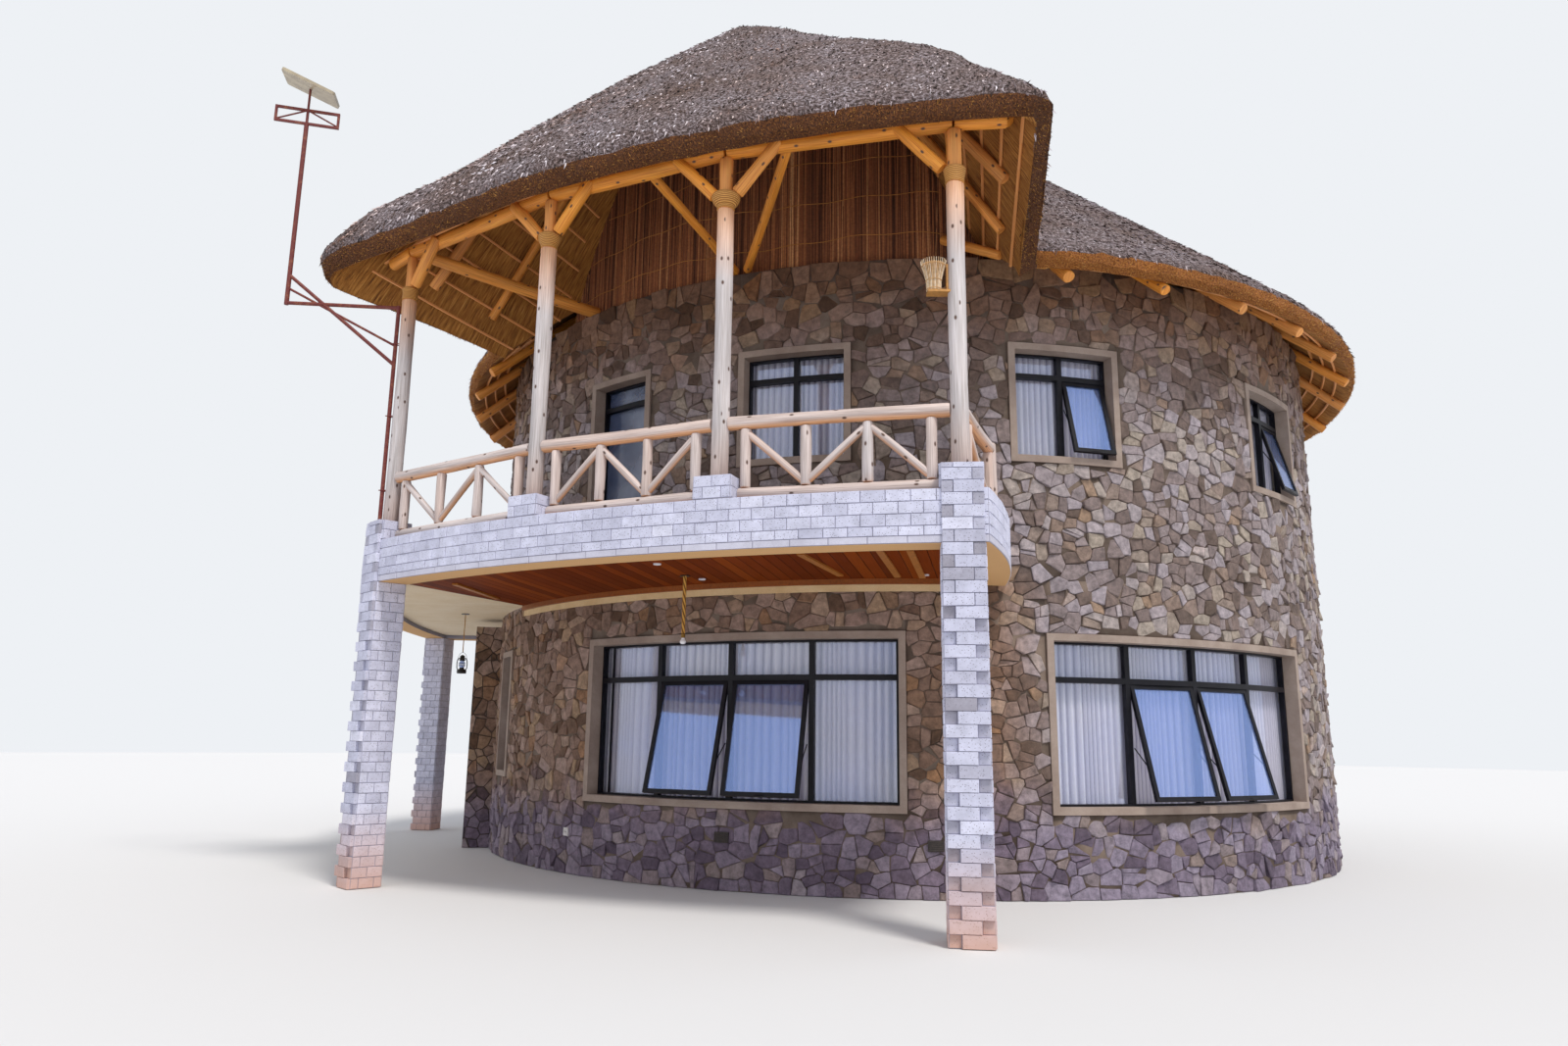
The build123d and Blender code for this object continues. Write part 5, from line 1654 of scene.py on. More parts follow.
    def roof(self, node: str, middle: Array, on_hood: bool) -> None:
        """Build one roof and its loose straw.

        Args:
            node: the CAD node that it stands for.
            middle: the plan point that it slopes away from.
            on_hood: whether it is the hood.
        """
        obj = self.dense_copy(node)
        zones = self.paint_faces(obj, middle, on_hood)
        self.shape(obj, zones, on_hood)
        self.scatter(obj, zones, node, on_hood)
        only(obj)
        bpy.ops.object.shade_smooth_by_angle(angle=math.radians(38))
        piece(obj, node + "_straw", THATCH[StrawFace.TOP], node)

    def scatter(self, obj: Object, zones: Sequence[StrawFace], node: str, on_hood: bool) -> None:
        """Stand loose stem ends on the cut faces, and lay ragged tufts over the top.

        Args:
            obj: the dressed roof.
            zones: the face of each facet.
            node: the CAD node's name, for the pieces' names.
            on_hood: whether it is the hood.
        """
        rng = np.random.default_rng(self.seed)
        cover = BVHTree.FromObject(NODES["hood_thatch"], bpy.context.evaluated_depsgraph_get())
        bristles, tufts = Batch(), Batch()
        mesh = obj.data
        points = corners_of(mesh)
        for zone, face in zip(zones, mesh.polygons):
            if zone is StrawFace.UNDER:
                continue
            a, b, c = (points[v] for v in face.vertices[:3])
            normal = np.array(face.normal)
            middle = (a + b + c) / 3
            if on_hood and self.above_cone(middle[None])[0] < 0.0:
                continue
            if not on_hood and middle[1] < -1 and cover.ray_cast(Vector(middle), UP)[0] is not None:
                continue
            wanted = self.bristles_per_metre if zone is StrawFace.CUT else self.tufts_per_metre
            for _ in range(rng.poisson(face.area * wanted)):
                s, t = rng.random(2)
                if s + t > 1:
                    s, t = 1 - s, 1 - t
                foot = a + s * (b - a) + t * (c - a)
                if zone is StrawFace.CUT:
                    self.stem(bristles, foot, normal + rng.normal(0, 0.3, 3), rng, *self.bristle)
                else:
                    down = np.array(
                        [normal[0] * normal[2], normal[1] * normal[2], -(normal[0] ** 2 + normal[1] ** 2)])
                    way = down / max(0.05, np.linalg.norm(down)) + 0.24 * normal + rng.normal(0, 0.15, 3)
                    self.stem(tufts, foot, way, rng, *self.tuft)
        # the hood's stem ends take the darker browns: painted shade
        bristles.joined(node + "_bristles", BRISTLE if on_hood else GOLDEN_BRISTLE)
        tufts.joined(node + "_tufts", WEATHERED_TUFT)

    @staticmethod
    def stem(batch: Batch, foot: Array, way: Array, rng: Chance, length: float, width: float) -> None:
        """Add one bundle of stem ends as a slim spike.

        Args:
            batch: the joined mesh.
            foot: where it leaves the roof.
            way: the way it points.
            rng: the source of chance.
            length: its usual length.
            width: half its thickness.
        """
        way = way / np.linalg.norm(way)
        side = np.cross(way, (0.3, 0.5, 0.8))
        side /= np.linalg.norm(side)
        other = np.cross(way, side)
        base = foot - way * 0.008
        ring = [base + width * (math.cos(a) * side + math.sin(a) * other) for a in (0.0, 2.094, 4.189)]
        tip = base + way * length * rng.uniform(0.6, 1.5)
        batch.add(np.array([*ring, tip]), ((0, 1, 3), (1, 2, 3), (2, 0, 3), (2, 1, 0)), rng.beta(0.7, 0.7))

    def build(self) -> None:
        """Thatch the cone and the hood."""
        self.roof("main_thatch", np.zeros(2), False)
        self.roof("hood_thatch", HOOD_CENTRE, True)


@dataclass(frozen=True)
class Stick:
    """A straight round pole."""

    start: Array
    end: Array
    radius: float

    @classmethod
    def fitted(cls, points: Array) -> "Stick":
        """Find the pole that a solid's corners lie on.

        Args:
            points: the solid's corners.

        Returns:
            The pole.
        """
        centre = (points.min(0) + points.max(0)) / 2
        _, _, axes = np.linalg.svd(points - points.mean(0), full_matrices=False)
        axis = axes[0]
        along = (points - centre) @ axis
        far = np.linalg.norm((points - centre) - np.outer(along, axis), axis=1)
        return cls(centre + axis * along.min(), centre + axis * along.max(), float(np.percentile(far, 70)))


class PoleKit:
    """One debarked pole, modelled once and copied to every place that has one."""

    def __init__(self, sides: int = 12, cuts: int = 6) -> None:
        """Model the pole.

        Args:
            sides: facets that it starts from.
            cuts: new rings along it, and new edges in each facet.
        """
        bpy.ops.object.select_all(action="DESELECT")
        bpy.ops.mesh.primitive_cylinder_add(vertices=sides, radius=1.0, depth=1.0, location=(0, 0, 0.5))
        pole = bpy.context.object
        bpy.ops.object.mode_set(mode="EDIT")
        bpy.ops.mesh.select_all(action="SELECT")
        bpy.ops.mesh.subdivide(number_cuts=cuts)
        bpy.ops.object.mode_set(mode="OBJECT")
        self.points = corners_of(pole.data)
        self.faces = [tuple(face.vertices) for face in pole.data.polygons]
        self.points[:, 2] -= self.points[:, 2].min()
        bpy.data.objects.remove(pole)
        self.turns = np.arctan2(self.points[:, 1], self.points[:, 0])
        self.levels = np.round(self.points[:, 2] * (cuts + 1)).astype(int)
        self.last = cuts + 1

    def copy(self, batch: Batch, stick: Stick, shelter: float | Callable[[Array], Array], rng: Chance,
             bow: float = 0.004) -> None:
        """Lay one copy along a stick, a little crooked and waisted.

        Args:
            batch: the joined mesh.
            stick: where it goes.
            shelter: how golden its wood stays, from 0 to 1, or that for each point.
            rng: the source of chance.
            bow: its bend as a share of its length.
        """
        axis = stick.end - stick.start
        length = float(np.linalg.norm(axis))
        axis /= length
        side, other = square_to(axis)
        share = self.levels / self.last
        rim = 0.012 / length
        share = np.where(self.levels == 1, rim, np.where(self.levels == self.last - 1, 1 - rim, share))
        phases = rng.uniform(0, 6.28, 4)
        swell = 1 + 0.035 * np.sin(2 * self.turns + phases[0] + 3 * share) + 0.03 * np.sin(
            4.5 * share * max(1.0, length) + phases[1]) + 0.02 * np.sin(3 * self.turns + phases[2])
        swell = np.where((self.levels == 0) | (self.levels == self.last), swell * 0.88, swell)
        drift = (bow * length * np.sin(math.pi * share))[:, None] * (
            math.cos(phases[3]) * side + math.sin(phases[3]) * other)
        ring = np.outer(np.cos(self.turns), side) + np.outer(np.sin(self.turns), other)
        thick = (stick.radius * swell)[:, None]
        points = stick.start + np.outer(share * length, axis) + ring * thick + drift
        uv = []
        offset = rng.uniform(0, 9, 2)
        for face in self.faces:
            turns = np.array([self.turns[v] for v in face])
            along = np.array([share[v] * length for v in face])
            if len(face) > 4:
                uv.append(np.column_stack([np.cos(turns), np.sin(turns)]) * stick.radius * 0.3 + offset)
                continue
            if np.ptp(turns) > math.pi:
                turns = np.where(turns < 0, turns + 2 * math.pi, turns)
            uv.append(np.column_stack([turns * stick.radius, along]) + offset)
        tone = shelter(points) if callable(shelter) else shelter
        batch.add(points, self.faces, np.clip(tone, 0, 1), np.concatenate(uv))


@dataclass
class Timberwork:
    """Posts, brackets, beams, railings and rafters of debarked pole."""

    shelters: dict[str, float] = field(default_factory=lambda: {
        "post_brackets": 1.0, "eave_beams": 1.0, "tie_beams": 1.0, "front_railing": 0.06,
        "right_railing": 0.15, "porch_railing": 0.1, "railing_newels": 0.1, "roof_rafters": 0.95,
        "hood_rafters": 0.95})
    right_tie: Straight = ((-0.31, -7.81, 6.56), (0.08, -5.62, 6.39))
    last_tail: Straight = ((-0.08, -5.70, 6.56), (0.43, -6.12, 6.19))
    slanting_ties: tuple[tuple[float, float], ...] = ((-114.16, -113.4), (-106.87, -112.0))
    tie_radius: float = 0.045
    tail_radius: float = 0.05
    beam_radius: float = 10.66
    beam_level: float = 6.545
    wall_level: float = 6.40
    golden_from: float = 5.75
    seed: int = 3

    def build(self, kit: PoleKit) -> None:
        """Lay a pole for each log of the frame.

        Args:
            kit: the modelled pole.
        """
        rng = np.random.default_rng(self.seed)
        for node, shelter in self.shelters.items():
            batch = Batch()
            for points in islands(node):
                stick = Stick.fitted(points)
                if node == "tie_beams" and stick.start[0] > -1:
                    stick = Stick(*(np.array(end) for end in self.right_tie), stick.radius)
                tone = shelter + rng.uniform(-0.06, 0.06) + (0.08 * rng.random() if shelter < 0.2 else 0.0)
                kit.copy(batch, stick, tone, rng)
            if node == "hood_rafters":
                kit.copy(batch, Stick(*(np.array(end) for end in self.last_tail), self.tail_radius),
                         shelter, rng)
            batch.joined(node + "_poles", GUM, node, smooth_deg=45)
        posts = Batch()
        for points in islands("log_posts"):
            kit.copy(posts, Stick.fitted(points), self.post_shelter, rng, 0.0025)
        posts.joined("log_posts_poles", GUM, "log_posts", smooth_deg=45)
        ties = Batch()
        for beam_angle, wall_angle in self.slanting_ties:
            on_beam = arc_point(self.beam_radius, beam_angle, self.beam_level)
            in_wall = polar(WALL_RADIUS - 0.04, wall_angle, self.wall_level)
            kit.copy(ties, Stick(on_beam, in_wall, self.tie_radius), 1.0, rng)
        ties.joined("slanting_ties", GUM, smooth_deg=45)
        dress("post_collars", COLLAR)

    def post_shelter(self, points: Array) -> Array:
        """Return how golden a post is at each point: silver below, honey under the eave."""
        return np.clip((points[:, 2] - self.golden_from) / 0.35, 0.0, 0.9)


def add_bar(batch: Batch, start: Array, end: Array, width: float, drop: float) -> None:
    """Add a flat bar that hangs from a level line.

    Args:
        batch: the joined mesh.
        start: the line's first end.
        end: its other end.
        width: the bar's width in plan.
        drop: how far it hangs down.
    """
    along = (end - start) / np.linalg.norm(end - start)
    side = np.array([along[1], -along[0], 0.0]) * width / 2
    corners = np.array([start - side, start + side, end + side, end - side])
    batch.loft([corners - upright(drop), corners + upright(drop * 0.02)])


def add_rod(
        batch: Batch, start: Array, end: Array, radius: float, sides: int = 6, tone: float = 0.5) -> None:
    """Add a short straight rod with closed ends.

    Args:
        batch: the joined mesh.
        start: its first end.
        end: its other end.
        radius: half its thickness.
        sides: facets round it.
        tone: its shade.
    """
    side, other = square_to((end - start) / np.linalg.norm(end - start))
    turns = [2 * math.pi * k / sides for k in range(sides)]
    ring = np.array([radius * (math.cos(a) * side + math.sin(a) * other) for a in turns])
    batch.loft([start + ring, end + ring], tone)


@dataclass
class ReedScreen:
    """Upright reeds in front of the lining under the hood, bound by rows of twine."""

    radius: float = 5.593
    start_deg: float = -149.6
    end_deg: float = -70.0
    lining_end_deg: float = -77.0
    spacing: float = 0.0105
    corner_turns: tuple[float, ...] = (5.027, 3.770, 2.513, 1.257, 0.0)
    twine_levels: tuple[float, ...] = (0.32, 0.78, 1.25, 1.72, 2.2, 2.7)
    seed: int = 9

    def build(self) -> None:
        """Stand the reeds and bind them."""
        depsgraph = bpy.context.evaluated_depsgraph_get()
        lining = BVHTree.FromObject(NODES["reed_lining"], depsgraph)
        roof = BVHTree.FromObject(NODES["hood_thatch"], depsgraph)
        rng = np.random.default_rng(self.seed)
        reeds = Batch()
        heads: list[tuple[float, float]] = []
        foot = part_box("reed_lining")[0].z
        for angle in np.arange(self.start_deg, self.end_deg, math.degrees(self.spacing / self.radius)):
            probe = polar(self.radius - 0.02, angle, 12.0)
            hit = lining.ray_cast(Vector(probe), Vector((0, 0, -1)))[0]
            if hit is None and angle > self.lining_end_deg:
                hit = roof.ray_cast(Vector(polar(self.radius, angle, foot)), UP)[0]
            if hit is None or hit.z < foot + 0.05:
                continue
            heads.append((angle, hit.z))
            half = rng.uniform(0.0052, 0.0085)
            lean = rng.normal(0, 0.18)
            out = rng.uniform(-0.004, 0.004)
            low, high = polar(self.radius + out, angle, foot), polar(self.radius + out, angle + lean, hit.z)
            side, front = polar(1, angle + 90), polar(1, angle)
            ring = np.array([half * (math.cos(a) * side + math.sin(a) * front) for a in self.corner_turns])
            cluster = 0.34 * noise.noise(Vector((angle * 0.35, 0.0, 0.0))) + 0.12 * noise.noise(
                Vector((angle * 2.0, 5.0, 0.0)))
            tone = float(np.clip(0.42 + cluster + rng.normal(0, 0.17), 0, 1))
            reeds.loft([low + ring, high + ring], tone)
        reeds.joined("reed_screen", DARK_REED, smooth_deg=0)
        self.twine(heads, foot, rng)
        dress("reed_lining", DARK_REED)

    def twine(self, heads: Sequence[tuple[float, float]], foot: float, rng: Chance) -> None:
        """Run the rows of twine over the reeds.

        Args:
            heads: angle and height of each reed's head.
            foot: height of the reeds' feet.
            rng: the source of chance.
        """
        rows = Batch()
        angles, tops = np.array(heads).T
        for level in self.twine_levels:
            phase = rng.uniform(0, 6)
            fine = np.arange(angles[0], angles[-1], 0.5)
            height = foot + level + 0.03 * np.sin(fine * 0.22 + phase) + 0.012 * np.sin(fine * 0.9 + phase)
            clear = np.interp(fine, angles, tops) > height + 0.06
            path = [polar(self.radius + 0.009, a, z) for a, z in zip(fine, height)]
            for k in range(len(fine) - 1):
                if clear[k] and clear[k + 1]:
                    add_rod(rows, path[k], path[k + 1], 0.0045, 4)
        rows.joined("reed_twine", STRING)


@dataclass
class Laths:
    """Thin pale laths nailed level across the stems under both roofs."""

    radius: float = 0.016
    shortest: float = 0.004
    hood_levels: tuple[float, ...] = (6.60, 6.86, 7.14, 7.42, 7.70, 7.98, 8.26, 8.54, 8.82)
    eave_levels: tuple[float, ...] = (6.12, 6.23, 6.34)
    side_share: float = 0.6
    side_fall: float = 0.32
    side_station: float = 7.35
    seed: int = 13

    def build(self) -> None:
        """Nail up all the laths."""
        rng = np.random.default_rng(self.seed)
        batch = Batch()
        self.follow(batch, "hood_thatch", HOOD_CENTRE, self.hood_levels, rng)
        self.follow(batch, "main_thatch", np.zeros(2), self.eave_levels, rng)
        batch.joined("thatching_laths", GUM, smooth_deg=50)

    def follow(self, batch: Batch, node: str, middle: Array, levels: Sequence[float], rng: Chance) -> None:
        """Run laths along the level lines of a roof's underside.

        Args:
            batch: the joined mesh.
            node: the roof's CAD node.
            middle: the plan point that the roof slopes away from.
            levels: the heights of the laths.
            rng: the source of chance.
        """
        mesh = NODES[node].data
        points = corners_of(mesh)
        mesh.calc_loop_triangles()
        for triangle in mesh.loop_triangles:
            if triangle.normal.z > -0.15:
                continue
            corners = points[list(triangle.vertices)]
            if (corners.mean(0)[:2] - middle) @ np.array(triangle.normal)[:2] > -0.02:
                continue
            heights = corners[:, 2].copy()
            level_part = np.array(triangle.normal)[:2]
            sideways = abs(level_part @ HOOD_SIDE) > self.side_share * np.linalg.norm(level_part)
            if node == "hood_thatch" and sideways:
                heights -= self.side_fall * (corners[:, :2] @ HOOD_OUT - self.side_station)
            for level in levels:
                if not heights.min() < level < heights.max():
                    continue
                ends = []
                for first, second in ((0, 1), (1, 2), (2, 0)):
                    low, high = heights[[first, second]] - level
                    if low * high < 0:
                        ends.append(
                            corners[first] + (corners[second] - corners[first]) * low / (low - high))
                if len(ends) < 2 or np.hypot(*ends[0][:2]) <= WALL_RADIUS:
                    continue
                if np.linalg.norm(ends[0] - ends[1]) > self.shortest:
                    below = np.array(triangle.normal) * self.radius * 0.75
                    tone = 0.85 + rng.uniform(-0.02, 0.02)
                    add_rod(batch, ends[0] + below, ends[1] + below, self.radius, 5, tone)


@dataclass
class Glazing:
    """Aluminium windows with their glass, opened sashes with stays, and the curtains behind."""

    curtain_radius: float = 5.4760
    fold: float = 0.018
    thread_step: float = 0.0065
    pleat: tuple[float, float] = (0.078, 0.030)
    rows: int = 7
    thin_mullion_deg: float = -129.4
    seed: int = 21

    def build(self) -> None:
        """Dress the frames and glass, and hang the curtains."""
        for node in ("ground_window_frames", "upper_window_frames", "open_sashes", "balcony_door",
                     "entrance_door"):
            dress(node, ALUMINIUM)
        for node in ("ground_window_glass", "upper_window_glass"):
            dress(node, GLASS)
        dress("door_glass", DOOR_GLASS)
        for node in SURROUND_NODES:
            dress(node, SURROUND_PLASTER)
        rng = np.random.default_rng(self.seed)
        for node in ("ground_curtains", "upper_curtains"):
            for number, points in enumerate(islands(node)):
                self.curtain(node, number, points, rng)
        self.stays()

    def curtain(self, node: str, number: int, points: Array, rng: Chance) -> None:
        """Hang one folded curtain across a window.

        Args:
            node: the CAD node that holds its space.
            number: which of the node's curtains it is.
            points: the corners of that space.
            rng: the source of chance.
        """
        middle, turns = spread_round(points)
        low, high = points[:, 2].min(), points[:, 2].max()
        width = (turns.max() - turns.min()) * self.curtain_radius
        columns = max(24, int(width / self.thread_step))
        along = np.linspace(0, width, columns)
        drift = np.interp(
            np.arange(columns), np.arange(0, columns + 20, 20), rng.normal(*self.pleat, columns // 20 + 2))
        pleats = np.cumsum(np.clip(drift, 0.045, 0.16) ** -1) * (width / columns) * 2 * math.pi
        drop = np.linspace(high, low, self.rows)
        grid, tones = [], []
        swell = 0.5 + 0.5 * np.interp(
            np.arange(columns), np.arange(0, columns + 40, 40), rng.random(columns // 40 + 2))
        for level, z in enumerate(drop):
            share = level / (self.rows - 1)
            loose = 0.6 + 0.4 * share
            swing = np.sin(pleats + 0.5 * math.sin(2 * share)) - 0.05
            wave = swing * self.fold * loose + 0.002 * np.sin(3.1 * pleats)
            reach = self.curtain_radius + wave
            # tone runs with the fold, low in its valleys, for the cloth's painted fold shade
            tones.append(np.clip(0.5 + 0.5 * swell * wave / (self.fold * loose), 0, 1))
            angle = middle + turns.min() + along / self.curtain_radius
            grid.append(np.stack([reach * np.cos(angle), reach * np.sin(angle), np.full(columns, z)], 1))
        corners = np.concatenate(grid)
        faces = [(r * columns + c, (r + 1) * columns + c, (r + 1) * columns + c + 1, r * columns + c + 1)
                 for r in range(self.rows - 1) for c in range(columns - 1)]
        cloth = np.concatenate([[0.0], np.cumsum(np.linalg.norm(np.diff(grid[-1], axis=0), axis=1))])
        uv = np.array([(cloth[i % columns], drop[i // columns]) for face in faces for i in face])
        batch = Batch()
        batch.add(corners, faces, np.concatenate(tones), uv)
        name = f"{node}_{number}"
        sheet = batch.joined(name, VOILE, node, smooth_deg=80)

    def stays(self) -> None:
        """Add the stay arms between the opened sashes and their frames."""
        batch = Batch()
        for points in islands("open_sashes"):
            middle = math.atan2(points[:, 1].mean(), points[:, 0].mean())
            out = np.array([math.cos(middle), math.sin(middle), 0])
            side = np.array([-math.sin(middle), math.cos(middle), 0])
            reach, sideways = points @ out, points @ side
            foot = points[:, 2].min()
            for hand in (sideways.min() + 0.012, sideways.max() - 0.012):
                sash = out * (reach.max() - 0.11) + side * hand + upright(foot + 0.32)
                frame = out * (WALL_RADIUS - 0.15) + side * hand + upright(foot + 0.50)
                add_rod(batch, frame, sash, 0.006)
            grip = out * (reach.max() - 0.006) + side * (sideways.mean() - 0.05) + upright(foot + 0.022)
            add_rod(batch, grip, grip + side * 0.1, 0.008)
        batch.joined("sash_stays", ALUMINIUM)
        bars = Batch()
        angle = self.thin_mullion_deg
        for low, high in ((0.85, 2.015), (2.04, 2.40)):
            add_rod(bars, polar(5.56, angle, low), polar(5.56, angle, high), 0.015, 4)
        bars.joined("thin_mullion", ALUMINIUM)


@dataclass
class Ceilings:
    """Board ceiling with its cornice and downlights, the plain porch soffit, and the floors."""

    battens: tuple[tuple[float, float, float, float], ...] = (
        (-1.56, -7.12, -1.15, -5.94), (-0.91, -7.35, -0.60, -5.90), (-0.66, -7.37, -0.36, -5.88),
        (-5.11, -5.02, -4.97, -3.85))
    downlights: tuple[tuple[float, float], ...] = (
        (-4.17, -3.9), (-2.84, -6.46), (-2.5, -5.55), (-0.35, -6.0), (-0.28, -7.2), (-4.4, -5.9))

    def build(self) -> None:
        """Dress the ceilings and floors, and fit the downlights."""
        dress("balcony_ceiling", BOARDS)
        dress("ceiling_cornice", CORNICE)
        dress("plaster_strip", STRIP)
        dress("porch_soffit", SOFFIT_PLASTER)
        for node in ("balcony_slab", "upper_floor", "ground_floor"):
            dress(node, FLOOR_SCREED)
        dress("porch_stub_wall", RUBBLE_JOINTED)
        strips = Batch()
        for x0, y0, x1, y1 in self.battens:
            add_bar(strips, np.array([x0, y0, CEILING_FOOT]), np.array([x1, y1, CEILING_FOOT]), 0.06, 0.018)
        strips.joined("ceiling_battens", BATTEN)
        for number, (x, y) in enumerate(self.downlights):
            bpy.ops.object.select_all(action="DESELECT")
            bpy.ops.mesh.primitive_cylinder_add(
                vertices=28, radius=0.036, depth=0.012, location=(x, y, CEILING_FOOT - 0.004))
            lamp = bpy.context.object
            pick(lamp, Part.FACE, [face.normal.z < -0.9 for face in lamp.data.polygons])
            bpy.ops.mesh.inset(thickness=0.008)
            bpy.ops.transform.translate(value=(0, 0, 0.005))
            bpy.ops.object.mode_set(mode="OBJECT")
            bpy.ops.object.transform_apply(location=True, rotation=True, scale=True)
            piece(lamp, f"downlight_{number}", OPAL)


@dataclass
class Lamps:
    """Pendant bulb and hurricane lantern on their ropes, and the basket lamp on the right post."""

    pendant: tuple[float, float] = (6.344, -114.7)
    pendant_drop: float = 0.560
    lantern: tuple[float, float] = (6.224, -159.5)
    lantern_drop: float = 0.500
    lantern_height: float = 0.2706

    def rope(self, name: str, top: Array, length: float, diameter: float) -> Object:
        """Make a hanging rope.

        Args:
            name: the piece's name and its CAD node's.
            top: where it leaves the ceiling.
            length: its length.
            diameter: its thickness.

        Returns:
            The rope.
        """
        curve = bpy.data.curves.new(name, "CURVE")
        curve.dimensions = "3D"
        curve.bevel_depth = diameter / 2
        curve.bevel_resolution = 5
        curve.resolution_u = 8
        curve.use_fill_caps = True
        spline = curve.splines.new("NURBS")
        sway = (0.0, 0.0015, -0.001, 0.001, 0.0, 0.0)
        spline.points.add(len(sway) - 1)
        for index, (point, shift) in enumerate(zip(spline.points, sway)):
            point.co = (top[0] + shift, top[1] + shift, top[2] - length * index / (len(sway) - 1), 1.0)
        spline.order_u = 3
        spline.use_endpoint_u = True
        rope = bpy.data.objects.new(name + "_laid", curve)
        bpy.context.scene.collection.objects.link(rope)
        finish = TwistedRope(
            name + "_sisal", "rope", 0.9, centre=(float(top[0]), float(top[1]), 0.0), pitch=diameter * 2.6)
        return piece(rope, name + "_laid", finish, name)

    def build(self) -> None:
        """Hang the lamps."""
        top = polar(*self.pendant, CEILING_FOOT - CEILING_TOUCH)
        rope = self.rope("pendant_rope", top, self.pendant_drop, 0.034)
        bulb = self.bulb(top - upright(self.pendant_drop))
        hook = polar(*self.lantern, CEILING_FOOT - CEILING_TOUCH)
        line = self.rope("lantern_rope", hook, self.lantern_drop, 0.012)
        self.hurricane_lantern(hook - upright(self.lantern_drop))
        self.roses(top, hook)
        self.basket_lamp()

    def roses(self, *tops: Array) -> None:
        """Fit the dark ceiling plates that the ropes hang from.

        Args:
            tops: where each rope leaves the ceiling.
        """
        plates = Batch()
        for top in tops:
            add_rod(plates, top - upright(0.008), top + upright(0.0002), 0.05, 20)
        plates.joined("ceiling_roses", BLACK_TIN)

    def turned_piece(self, profile: Sequence[tuple[float, float]], centre: Array, steps: int) -> Object:
        """Spin a half section about an upright axis.

        Args:
            profile: radius and height of each corner, closed at the axis.
            centre: the foot of the axis.
            steps: facets round it.

        Returns:
            The closed shape, in place.
        """
        mesh = bpy.data.meshes.new("half_section")
        points = [(centre[0] + r, centre[1], centre[2] + z) for r, z in profile]
        mesh.from_pydata(points, [(i, i + 1) for i in range(len(points) - 1)], [])
        obj = bpy.data.objects.new("half_section", mesh)
        bpy.context.scene.collection.objects.link(obj)
        only(obj)
        bpy.ops.object.mode_set(mode="EDIT")
        bpy.ops.mesh.select_all(action="SELECT")
        bpy.ops.mesh.spin(steps=steps, angle=2 * math.pi, center=tuple(centre), axis=(0, 0, 1))
        bpy.ops.mesh.select_all(action="SELECT")
        bpy.ops.mesh.remove_doubles(threshold=0.0001)
        bpy.ops.mesh.normals_make_consistent(inside=False)
        bpy.ops.object.mode_set(mode="OBJECT")
        bpy.ops.object.shade_smooth_by_angle(angle=math.radians(35))
        return obj

    def bulb(self, top: Array) -> Object:
        """Make the pendant's brass holder and its frosted bulb.

        Args:
            top: the rope's lower end.

        Returns:
            The piece, in two finishes.
        """
        profile = ((0.0, -0.0003), (0.014, -0.0003), (0.021, -0.008), (0.021, -0.040), (0.016, -0.0455),
                   (0.015, -0.052), (0.021, -0.062), (0.028, -0.074), (0.030, -0.084), (0.027, -0.094),
                   (0.018, -0.102), (0.0, -0.105))
        obj = self.turned_piece(profile, top, 28)
        obj.data.materials.append(OPAL.material())
        obj.data.materials.append(BRASS.material())
        for face in obj.data.polygons:
            face.material_index = 1 if face.center.z > top[2] - 0.047 else 0
        return piece(obj, "pendant_bulb_glass", OPAL, "pendant_bulb")

    def hurricane_lantern(self, top: Array) -> None:
        """Make the hurricane lantern: tank, burner, globe, cap, side tubes and bail.

        Args:
            top: the rope's lower end.
        """
        foot = top - upright(self.lantern_height)
        body = ((0.0, 0.0), (0.054, 0.0), (0.060, 0.006), (0.060, 0.040), (0.052, 0.052), (0.030, 0.058),
                (0.030, 0.072), (0.026, 0.076), (0.0, 0.076))
        cap = ((0.0, 0.162), (0.026, 0.162), (0.038, 0.168), (0.040, 0.174), (0.028, 0.190), (0.026, 0.206),
               (0.032, 0.212), (0.030, 0.222), (0.012, 0.236), (0.0, 0.238))
        piece(self.turned_piece(body, foot, 28), "lantern_tank", BLACK_TIN, "lantern")
        piece(self.turned_piece(cap, foot, 28), "lantern_cap", BLACK_TIN)
        globe = ((0.0, 0.077), (0.026, 0.077), (0.038, 0.098), (0.040, 0.118), (0.034, 0.142),
                 (0.024, 0.161), (0.0, 0.161))
        piece(self.turned_piece(globe, foot, 28), "lantern_globe", DOOR_GLASS)
        wires = Batch()
        for hand in (-1, 1):
            tube = [(0.050, 0.046), (0.064, 0.070), (0.066, 0.120), (0.062, 0.165), (0.048, 0.190),
                    (0.030, 0.200)]
            self.wire(wires, foot, [(hand * x, 0.0, z) for x, z in tube], 0.0065)
        for level in (0.100, 0.132):
            hoop = [(0.043 * math.cos(a), 0.043 * math.sin(a), level)
                    for a in np.linspace(0, 2 * math.pi, 17)]
            self.wire(wires, foot, hoop, 0.0018)
        bail = [(0.060 * math.cos(a), 0.0, 0.165 + 0.105 * math.sin(a))
                for a in np.linspace(0, math.pi, 13)]
        self.wire(wires, foot, bail, 0.0022)
        wires.joined("lantern_wires", BLACK_TIN, smooth_deg=60)

    @staticmethod
    def wire(batch: Batch, foot: Array, line: Sequence[tuple[float, float, float]], radius: float) -> None:
        """Bend a wire or tube along a line of points.

        Args:
            batch: the joined mesh.
            foot: the lantern's foot.
            line: points measured from it.
            radius: half the wire's thickness.
        """
        path = [foot + np.array(p) for p in line]
        for start, end in zip(path, path[1:]):
            add_rod(batch, start, end, radius, 8)

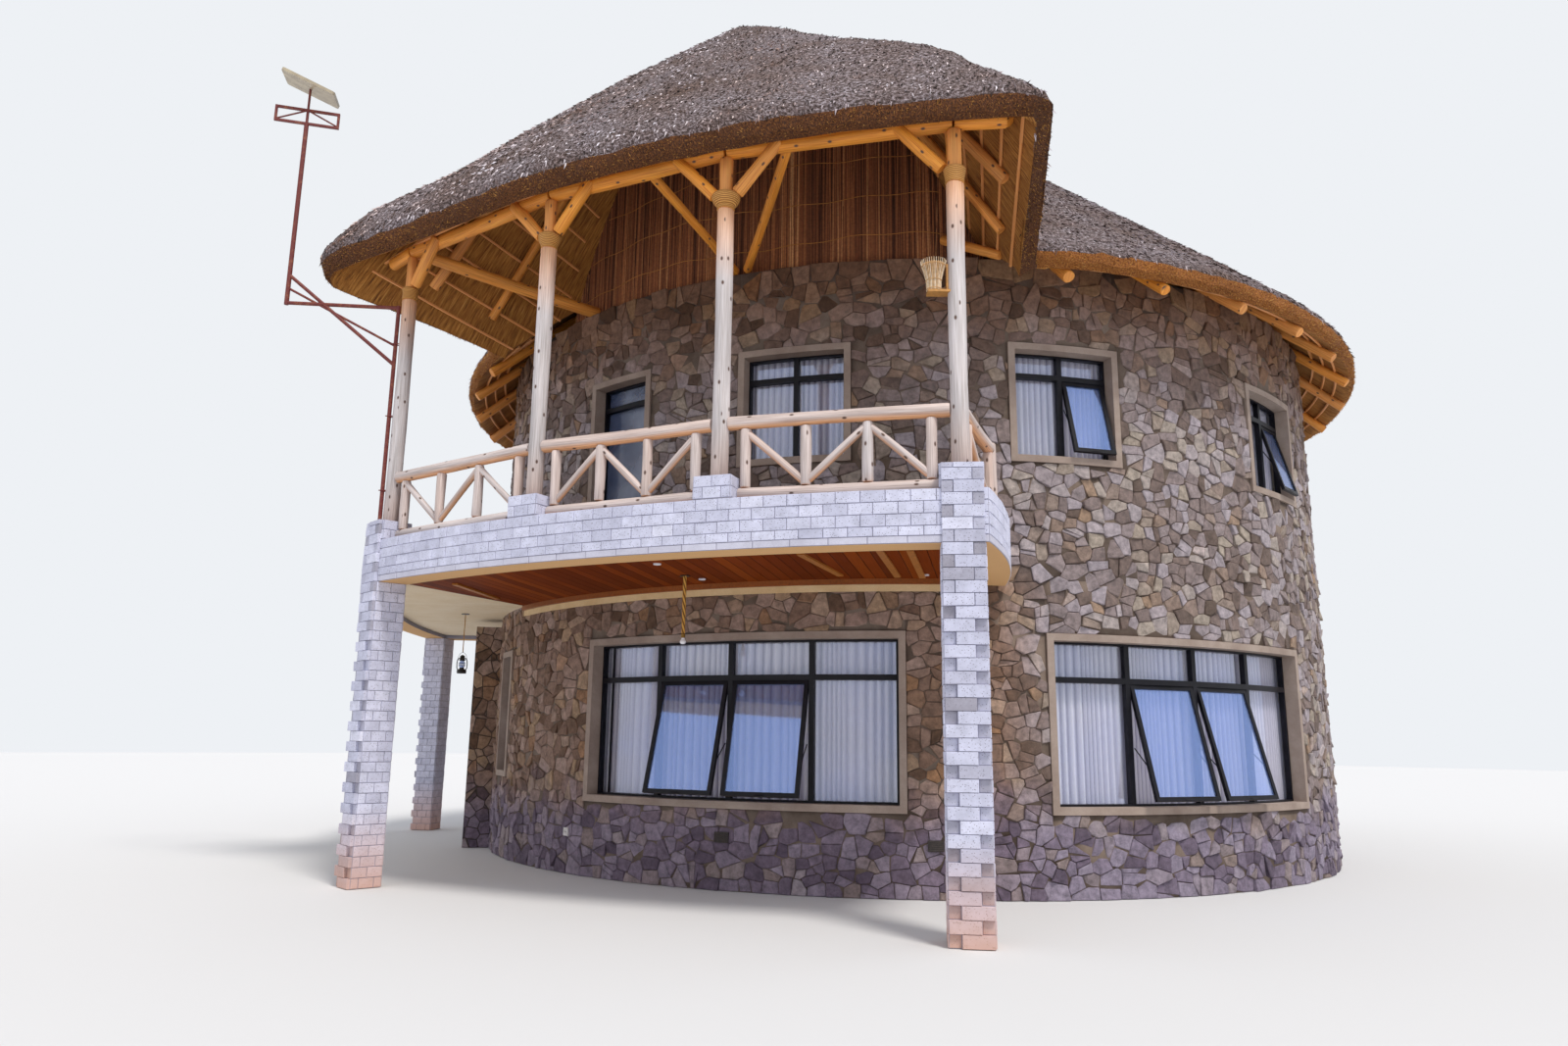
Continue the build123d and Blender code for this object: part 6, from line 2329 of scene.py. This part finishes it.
    def basket_lamp(self) -> None:
        """Rib the basket lamp with split cane and give its rim a row of points."""
        dress("post_sconce", CANE)
        post = arc_point(ARC_RADIUS - BAND_WIDTH / 2, POST_ANGLES[0])
        centre = post - np.array([0.075 + 0.095 + 0.020, 0, 0])
        ribs = Batch()
        for k in range(34):
            turn = 2 * math.pi * k / 34
            way = np.array([math.cos(turn), math.sin(turn), 0])
            levels = ((0.0565, 5.032), (0.0600, 5.12), (0.0760, 5.19), (0.0985, 5.262), (0.105, 5.290))
            for (r0, z0), (r1, z1) in zip(levels, levels[1:]):
                thin = 0.0038 if z1 < 5.27 else 0.0026
                add_rod(ribs, centre + way * r0 + upright(z0), centre + way * r1 + upright(z1), thin, 5,
                        0.35 + 0.6 * (k % 3) / 3)
        for level, radius in ((5.045, 0.060), (5.12, 0.064), (5.245, 0.099)):
            hoop = [centre + np.array([radius * math.cos(a), radius * math.sin(a), level])
                    for a in np.linspace(0, 2 * math.pi, 29)]
            for start, end in zip(hoop, hoop[1:]):
                add_rod(ribs, start, end, 0.0035, 5, 0.15)
        ribs.joined("basket_ribs", CANE)


@dataclass
class Fittings:
    """The red steel mast with its plate, the wall socket and the air vents."""

    vents: tuple[tuple[float, float], ...] = ((-113.3, 0.495), (-92.5, 0.480))
    socket: tuple[float, float] = (-134.4, 0.430)

    def build(self) -> None:
        """Dress the fittings and add their small parts."""
        dress("steel_mast", RED_STEEL)
        dress("mast_panel", PANEL)
        dress("socket_plate", WHITE_PLASTIC)
        dress("air_vents", DARK_GRILLE)
        bars = Batch()
        for angle, height in self.vents:
            for row in range(5):
                z = height - 0.036 + 0.018 * row
                half = math.degrees(0.066 / WALL_RADIUS)
                add_rod(bars, polar(WALL_RADIUS + 0.023, angle - half, z),
                        polar(WALL_RADIUS + 0.023, angle + half, z), 0.0045)
        bars.joined("vent_bars", DARK_GRILLE)
        holes = Batch()
        for shift in (-0.012, 0.012):
            at = polar(WALL_RADIUS + 0.0135, self.socket[0] + math.degrees(shift / WALL_RADIUS),
                       self.socket[1])
            add_rod(holes, at, at + polar(0.0012, self.socket[0]), 0.005, 12)
        holes.joined("socket_holes", DARK_GRILLE)
        bolts = Batch()
        pipe = arc_point(ARC_RADIUS - BAND_WIDTH / 2, POST_ANGLES[3])
        for z in (3.9, 4.7, 5.5):
            add_rod(bolts, pipe + np.array([-0.14, 0.024, z]), pipe + np.array([-0.06, 0.024, z]), 0.006)
            add_rod(bolts, pipe + np.array([-0.14, -0.024, z]), pipe + np.array([-0.06, -0.024, z]), 0.006)
        bolts.joined("pipe_clamps", RED_STEEL)


def main() -> None:
    """Load the frame and dress it, piece by piece."""
    logging.basicConfig(level=logging.INFO, format="%(message)s")
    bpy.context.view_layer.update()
    Studio().build()
    Lamps().build()
    RubbleWall().build()
    TileCourses().build()
    kit = PoleKit()
    Timberwork().build(kit)
    Laths().build()
    ReedScreen().build()
    Glazing().build()
    Ceilings().build()
    Fittings().build()
    Thatching().build()


if __name__ == "__main__":
    main()
